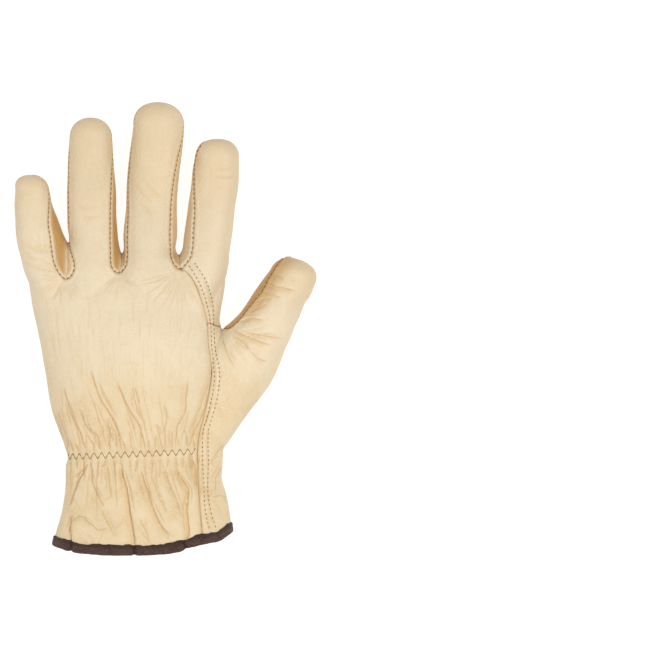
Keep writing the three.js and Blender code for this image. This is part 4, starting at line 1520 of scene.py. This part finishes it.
LEG_PLACES = 8  # places on the leather along each leg of the zigzag
LEG_END = 0.02  # share of a leg that its stitches leave free at each end
ZIGZAG_LIFT = 0.05  # height of the zigzag's stitches above the leather
ZIGZAG_STRETCH = 1.02  # length of its stitches, as a share of what they span
ZIGZAG_THIN = 0.95  # thickness of its thread, as a share of the other thread's


def zigzag_stitches(tree):
    """The zigzag over the elastic, two stitches down each of its legs."""
    corners = zigzag_line()
    legs = []
    for start, end in zip(corners[:-1], corners[1:]):
        line = [start + (end - start) * t for t in np.linspace(LEG_END, 1 - LEG_END, LEG_PLACES)]
        places, normals = drop_on(tree, line)
        if len(places) < LEG_PLACES // 2:
            continue
        middle = len(places) // 2
        for first, last in ((0, middle), (middle, len(places) - 1)):
            along = places[last] - places[first]
            legs.append(((places[first] + places[last]) / 2, along, normals[first] + normals[last]))
    middles, tangents, normals = (np.array(rows) for rows in zip(*legs))
    length = float(np.linalg.norm(tangents, axis=1).mean())
    return stitch_pieces(
        middles + unit(normals) * ZIGZAG_LIFT, tangents, normals, length * ZIGZAG_STRETCH,
        THREAD * ZIGZAG_THIN)


# Materials

class Shade:
    """A node material under construction. Each call adds a node and returns its main output."""

    def __init__(self, name):
        self.material = bpy.data.materials.new(name)
        self.material.use_nodes = True
        self.tree = self.material.node_tree
        self.shader = self.tree.nodes["Principled BSDF"]

    def add(self, kind, inputs, **settings):
        node = self.tree.nodes.new(kind)
        for key, value in settings.items():
            setattr(node, key, value)
        for key, value in inputs.items():
            self.plug(node.inputs[key], value)
        return node

    def plug(self, socket, value):
        if isinstance(value, bpy.types.NodeSocket):
            self.tree.links.new(value, socket)
        else:
            socket.default_value = value

    def set(self, **values):
        for key, value in values.items():
            self.plug(self.shader.inputs[key.replace("_", " ")], value)

    def places(self, scale=(1, 1, 1)):
        """Place on the object in millimetres, stretched by scale."""
        coordinates = self.add("ShaderNodeTexCoord", {}).outputs["Object"]
        return self.add(
            "ShaderNodeMapping", {"Vector": coordinates, "Scale": [METRE * s for s in scale]}).outputs[0]

    def value(self, name):
        return self.add("ShaderNodeAttribute", {}, attribute_name=name).outputs["Fac"]

    def math(self, kind, first, second=0.0):
        return self.add("ShaderNodeMath", {0: first, 1: second}, operation=kind).outputs[0]

    def fit(self, source, low, high, to_low=0.0, to_high=1.0):
        inputs = {"Value": source, "From Min": low, "From Max": high, "To Min": to_low, "To Max": to_high}
        return self.add("ShaderNodeMapRange", inputs).outputs[0]

    def noise(self, places, pitch, detail=2.0, rough=0.5, warp=0.0):
        inputs = {
            "Vector": places, "Scale": 1 / pitch, "Detail": detail, "Roughness": rough, "Distortion": warp}
        return self.add("ShaderNodeTexNoise", inputs).outputs["Fac"]

    def cells(self, places, pitch, smooth=0.5, kind="SMOOTH_F1"):
        inputs = {"Vector": places, "Scale": 1 / pitch, "Randomness": 1.0}
        if kind == "SMOOTH_F1":
            inputs["Smoothness"] = smooth
        return self.add("ShaderNodeTexVoronoi", inputs, feature=kind).outputs["Distance"]

    def mix(self, share, first, second, blend="MIX"):
        node = self.add("ShaderNodeMix", {0: share}, data_type="RGBA", blend_type=blend)
        self.plug(node.inputs[6], first)
        self.plug(node.inputs[7], second)
        return node.outputs[2]

    def bump(self, height, depth, before=None):
        """Bump of a given depth in millimetres."""
        inputs = {"Height": height, "Distance": depth / METRE, "Strength": 1.0}
        if before is not None:
            inputs["Normal"] = before
        return self.add("ShaderNodeBump", inputs).outputs[0]


def tint(colour, amount):
    """A colour made lighter or darker, with full alpha."""
    return tuple(min(c * amount, 1.0) for c in colour) + (1.0,)


GOLDEN_SHADE_AND_GRAIN = (0.46, 0.255, 0.072)  # painted golden shade on leather facing into a gap between two fingers and beside seams; also the grain's tint
SHADE = (0.62, 0.385, 0.135)  # painted shade in the hollow of a fold, on steep sides and along fine creases
SEAM_AND_CREASE_SHADE = (0.4, 0.215, 0.055)  # painted shade down in a seam or a crease
SUEDE = (0.62, 0.5, 0.34)  # flesh side of the leather
TIP_SHADE = (0.94, 0.89, 0.82, 1.0)  # painted shade: what the colour is multiplied by at the fingertips
WARM = (0.97, 0.93, 0.83)  # what the colour is multiplied by in its warmer patches


def leather(name, colour):
    """Soft full-grain leather: mottled colour, pores and fine creases. Painted golden shade lies where it
    turns into a seam, between the fingers, in creases and folds, and towards the fingertips.
    """
    shade = Shade(name)
    places = shade.places()
    cloud = shade.noise(places, 34, 3, 0.5, 0.4)
    blotch = shade.noise(places, 7, 3, 0.55)
    speck = shade.noise(places, 0.9, 2, 0.6)
    base = shade.mix(shade.fit(cloud, 0.35, 0.68), tint(colour, 1.035), tint(colour, 0.965))
    warm = tuple(c * share for c, share in zip(colour, WARM)) + (1.0,)
    base = shade.mix(shade.fit(blotch, 0.46, 0.78, 0, 0.5), base, warm)
    # warmer where the leather is crinkled; on the walls between the fingers this adds to their painted
    # shade
    base = shade.mix(shade.fit(shade.value("crinkle"), 0.3, 1, 0, 0.7), base, warm)
    base = shade.mix(shade.fit(speck, 0.52, 0.75, 0, 0.2), base, tint(colour, 0.8))
    # painted shade, darker towards the fingertips
    base = shade.mix(shade.value("tip_shade"), base, TIP_SHADE, "MULTIPLY")
    grain = shade.noise(shade.places((1, 0.2, 0.5)), 1.0, 2, 0.6, 1.2)
    base = shade.mix(shade.fit(grain, 0.5, 0.7, 0, 0.1), base, tint(GOLDEN_SHADE_AND_GRAIN, 1.2))
    # painted golden shade beside the seams and on the walls between the fingers
    beside = shade.fit(shade.value("beside"), 0.05, 1.0, 0, 0.16)
    wall = shade.fit(shade.value("wall"), 0, 1, 0, 0.95)
    worn = shade.mix(shade.math("MAXIMUM", wall, beside), base, GOLDEN_SHADE_AND_GRAIN + (1.0,))
    # painted shade down the core of each crease and in the seam grooves
    crease = shade.math("MULTIPLY", shade.value("crease"), shade.fit(speck, 0.3, 0.7, 0.5, 0.85))
    groove_shade = shade.math("MULTIPLY", shade.value("groove_shade"), 0.3)
    fine = crease_net(shade, places)
    # painted shade in the hollows of folds, on steep sides and along the fine creases
    hollow_shade = shade.fit(shade.value("hollow_shade"), 0.02, 1, 0, 0.58)
    dim = shade.math("MAXIMUM", hollow_shade, shade.math("MULTIPLY", fine, 0.65))
    worn = shade.mix(dim, worn, SHADE + (1.0,))
    worn = shade.mix(shade.math("MAXIMUM", crease, groove_shade), worn, SEAM_AND_CREASE_SHADE + (1.0,))
    nap = shade.noise(places, 0.5, 3, 0.7)
    flesh = shade.mix(shade.fit(nap, 0.3, 0.7), tint(SUEDE, 0.85), tint(SUEDE, 1.1))
    shade.set(Base_Color=shade.mix(shade.value("inside"), worn, flesh))
    leather_surface(shade, places, fine, grain)
    return shade.material


def crease_net(shade, places):
    """Net of fine creases where the leather is crinkled: a wide-meshed one, and a fainter, finer one."""
    drift = shade.add("ShaderNodeTexNoise", {"Vector": places, "Scale": 1 / 6, "Detail": 1.0})
    moved = shade.add(
        "ShaderNodeVectorMath", {0: places, 1: drift.outputs["Color"], 2: (4, 6, 4)},
        operation="MULTIPLY_ADD")
    web = None
    for size, thin in (((3.6, 9, 6), 0.17), ((1.9, 3.8, 2.8), 0.22)):
        stretched = shade.add("ShaderNodeVectorMath", {0: moved.outputs[0], 1: size}, operation="DIVIDE")
        edge = shade.cells(stretched.outputs[0], 1, kind="DISTANCE_TO_EDGE")
        line = shade.fit(edge, 0, thin, 1, 0)
        web = line if web is None else shade.math("MAXIMUM", web, shade.math("MULTIPLY", line, 0.5))
    patchy = shade.fit(shade.noise(places, 11, 1), 0.25, 0.75)
    return shade.math("MULTIPLY", shade.math("MULTIPLY", web, patchy), shade.value("crinkle"))


def leather_surface(shade, places, fine, grain):
    """Gloss and bump of the leather: wrinkles, fine creases, grain, pebbles and pores."""
    gloss = shade.noise(places, 5, 2, 0.5)
    rough = shade.fit(gloss, 0.3, 0.7, 0.5, 0.62)
    shade.set(Roughness=shade.math("ADD", rough, shade.fit(shade.value("inside"), 0, 1, 0, 0.3)))
    shade.set(Specular_IOR_Level=0.4, Sheen_Weight=0.12, Sheen_Roughness=0.4)
    warped = shade.add("ShaderNodeVectorMath", {
        0: places, 1: shade.add("ShaderNodeTexNoise", {"Vector": places, "Scale": 0.8}).outputs["Color"]})
    pebbles = shade.cells(warped.outputs[0], 1.25, 0.35)
    wrinkle = shade.noise(shade.places((1, 0.6, 1)), 2.6, 3, 0.55, 0.8)
    pores = shade.noise(places, 0.28, 1, 0.5)
    normal = shade.bump(wrinkle, 0.2)
    normal = shade.bump(shade.math("SUBTRACT", 1.0, fine), 0.11, normal)
    normal = shade.bump(grain, 0.12, normal)
    normal = shade.bump(pebbles, 0.13, normal)
    normal = shade.bump(pores, 0.018, normal)
    shade.set(Normal=normal)


RIB_TURN = 5.2  # radians of a rib's wave per millimetre of tape
TAPE_DARK = (0.022, 0.012, 0.01, 1)
TAPE_LIGHT = (0.12, 0.068, 0.055, 1)
TAPE_FADED = (0.13, 0.07, 0.055, 1)
# painted shade in the kinks where folds of the cuff dent the tape
TAPE_KINK_SHADE = (0.012, 0.007, 0.006, 1)


def ribbed_tape():
    """Dark ribbed tape, faded in places, darker on its upper half, and with painted shade in its kinks."""
    shade = Shade("ribbed_tape")
    places = shade.places()
    along, across = shade.value("along"), shade.value("across")
    wobble = shade.noise(places, 3, 2, 0.5)
    rib = shade.math("SINE", shade.math("ADD", shade.math("MULTIPLY", along, RIB_TURN), wobble))
    weave = shade.noise(places, 0.9, 3, 0.75)
    cloud = shade.noise(places, 5, 2, 0.5)
    base = shade.mix(shade.fit(weave, 0.34, 0.66), TAPE_DARK, TAPE_LIGHT)
    base = shade.mix(shade.fit(rib, -1, 1, 0, 0.22), base, TAPE_DARK)
    base = shade.mix(shade.fit(cloud, 0.35, 0.65, 0, 0.3), base, TAPE_FADED)
    base = shade.mix(shade.fit(across, 2.3, 3.6, 0, 0.5), base, TAPE_DARK)
    # painted shade in the kinks
    base = shade.mix(shade.math("MULTIPLY", shade.value("kink_shade"), 0.75), base, TAPE_KINK_SHADE)
    shade.set(Base_Color=base, Roughness=shade.fit(weave, 0.3, 0.7, 0.72, 0.9))
    shade.set(Specular_IOR_Level=0.2, Sheen_Weight=0.1, Sheen_Roughness=0.5)
    normal = shade.bump(rib, 0.12)
    normal = shade.bump(weave, 0.4, normal)
    shade.set(Normal=normal)
    return shade.material


def thread(name, colour):
    """Twisted sewing thread."""
    shade = Shade(name)
    places = shade.places()
    twist = shade.noise(shade.places((1, 1, 0.5)), 0.3, 2, 0.6)
    worn = shade.noise(places, 9, 2, 0.5)
    base = shade.mix(shade.fit(twist, 0.35, 0.7), tint(colour, 0.72), tint(colour, 1.18))
    base = shade.mix(shade.fit(worn, 0.4, 0.7, 0, 0.35), base, tint(colour, 1.35))
    shade.set(Base_Color=base, Roughness=shade.fit(twist, 0.3, 0.7, 0.55, 0.8))
    shade.set(Specular_IOR_Level=0.2, Sheen_Weight=0.05, Sheen_Roughness=0.5)
    shade.set(Normal=shade.bump(twist, 0.08))
    return shade.material


GLOW = 0.9  # light that comes through the floor, as on a light table
GLOW_COLOUR = (1, 0.98, 0.965, 1)


def paper():
    """Plain pale studio floor, lit a little from below."""
    shade = Shade("studio_floor")
    fibre = shade.noise(shade.places(), 40, 2, 0.5)
    dark, light = (0.25, 0.25, 0.25, 1), (0.27, 0.27, 0.27, 1)
    shade.set(Base_Color=shade.mix(shade.fit(fibre, 0.3, 0.7), dark, light))
    shade.set(Roughness=0.9, Specular_IOR_Level=0.0)
    shade.set(Emission_Color=GLOW_COLOUR, Emission_Strength=GLOW)
    return shade.material


# Putting it together

PANEL_LOOKS = {
    "palm_panel": ("palm_leather", (0.69, 0.587, 0.43)),
    "back_panel": ("back_leather", (0.684, 0.586, 0.43)),
    "ring_finger_front": ("finger_front_leather", (0.7, 0.57, 0.39)),
    "middle_finger_front": ("finger_front_leather", (0.7, 0.57, 0.39)),
    "thumb_panel": ("thumb_leather", (0.705, 0.603, 0.44)),
}
SEAM_THREAD = (0.29, 0.14, 0.024)
TOP_THREAD = (0.34, 0.185, 0.045)
ZIGZAG_THREAD = (0.31, 0.155, 0.03)


def dress(piece, material, node=None):
    """Gives a piece its material and its place in the frame."""
    piece.data.materials.append(material)
    if node:
        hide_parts(node)
    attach(piece, "root")


def glove():
    skin = dressed_skin()
    placed = skin["points"].copy()
    made = {slot: leather("soft_" + slot, colour) for slot, colour in PANEL_LOOKS.values()}
    for number, node in enumerate(PANELS):
        slot = PANEL_LOOKS[node][0]
        dress(panel_object(number, skin, placed), made[slot], node)
    tree = tree_of(placed, skin["faces"])
    dress(binding(skin, placed, tree), ribbed_tape(), "cuff_binding")
    seam_thread, top_thread = thread("seam_thread", SEAM_THREAD), thread("top_thread", TOP_THREAD)
    zigzag_thread = thread("zigzag_thread", ZIGZAG_THREAD)
    stitches = {
        "finger_seam_stitches": (seam_stitches(skin, placed, ["plain"]), seam_thread),
        "index_seam_stitches": (row_stitches(tree, [INDEX_SIDE_SEAM], "plain"), seam_thread),
        "palm_seam_stitches": (
            seam_stitches(skin, placed, ["base", "outer_edge", "welt"]), top_thread),
        "lapped_seam_stitches": (
            row_stitches(tree, [LAP_INNER_ROW, LAP_OUTER_ROW], "lapped"), top_thread),
        "zigzag_stitches": (zigzag_stitches(tree), zigzag_thread),
    }
    for name, (shape, material) in stitches.items():
        dress(add_piece(name, *shape), material)


# Camera, floor and light. The photo's frame is 382.8 mm wide where the glove lies

LENS = 300
SENSOR = 36
FRAME_WIDTH = 382.8
FRAME_MIDDLE = (95.7, -1.45)  # in the photo's frame, millimetres right of and above the table's origin
MIDDLE_HEIGHT = 10
FLOOR_Z = -0.2
FLOOR_SIZE = 4.0


def camera():
    lens = bpy.data.cameras.new("camera")
    lens.lens = LENS
    lens.sensor_width = SENSOR
    viewer = object_of("camera", lens)
    height = (FRAME_WIDTH * LENS / SENSOR + MIDDLE_HEIGHT) / METRE
    x, y, _ = (np.array(FRAME_MIDDLE + (0,)) + ORIGIN_SHIFT) / METRE
    viewer.location = (x, y, height)
    bpy.context.scene.camera = viewer


# Soft lamps. Columns: name, place and size in metres, power in watts
LAMPS = [
    ("key_light", (1.1, -0.15, 1.9), 0.7, 29.5),
    ("fill_light", (-1.0, -0.2, 1.3), 1.0, 11.5),
]
LAMP_TARGET = (0.03, 0, 0)
LAMP_COLOUR = (1.0, 0.995, 0.985)
SKY_COLOUR = (1, 0.955, 0.88, 1)
SKY_POWER = 0.46


def lamp(name, place, size, power):
    light = bpy.data.lights.new(name, "AREA")
    light.size = size
    light.energy = power
    light.color = LAMP_COLOUR
    thing = object_of(name, light)
    thing.location = Vector(place)
    thing.rotation_euler = (Vector(LAMP_TARGET) - thing.location).to_track_quat("-Z", "Y").to_euler()


def studio():
    half = FLOOR_SIZE / 2
    mesh = bpy.data.meshes.new("floor")
    low = FLOOR_Z / METRE
    mesh.from_pydata([(-half, -half, low), (half, -half, low), (half, half, low), (-half, half, low)],
                     [], [(0, 1, 2, 3)])
    mesh.materials.append(paper())
    floor = object_of("floor", mesh)
    world = bpy.data.worlds.new("studio")
    world.use_nodes = True
    background = world.node_tree.nodes["Background"]
    background.inputs["Color"].default_value = SKY_COLOUR
    background.inputs["Strength"].default_value = SKY_POWER
    bpy.context.scene.world = world
    for row in LAMPS:
        lamp(*row)
    bpy.context.scene.view_settings.view_transform = "Standard"


camera()
glove()
studio()
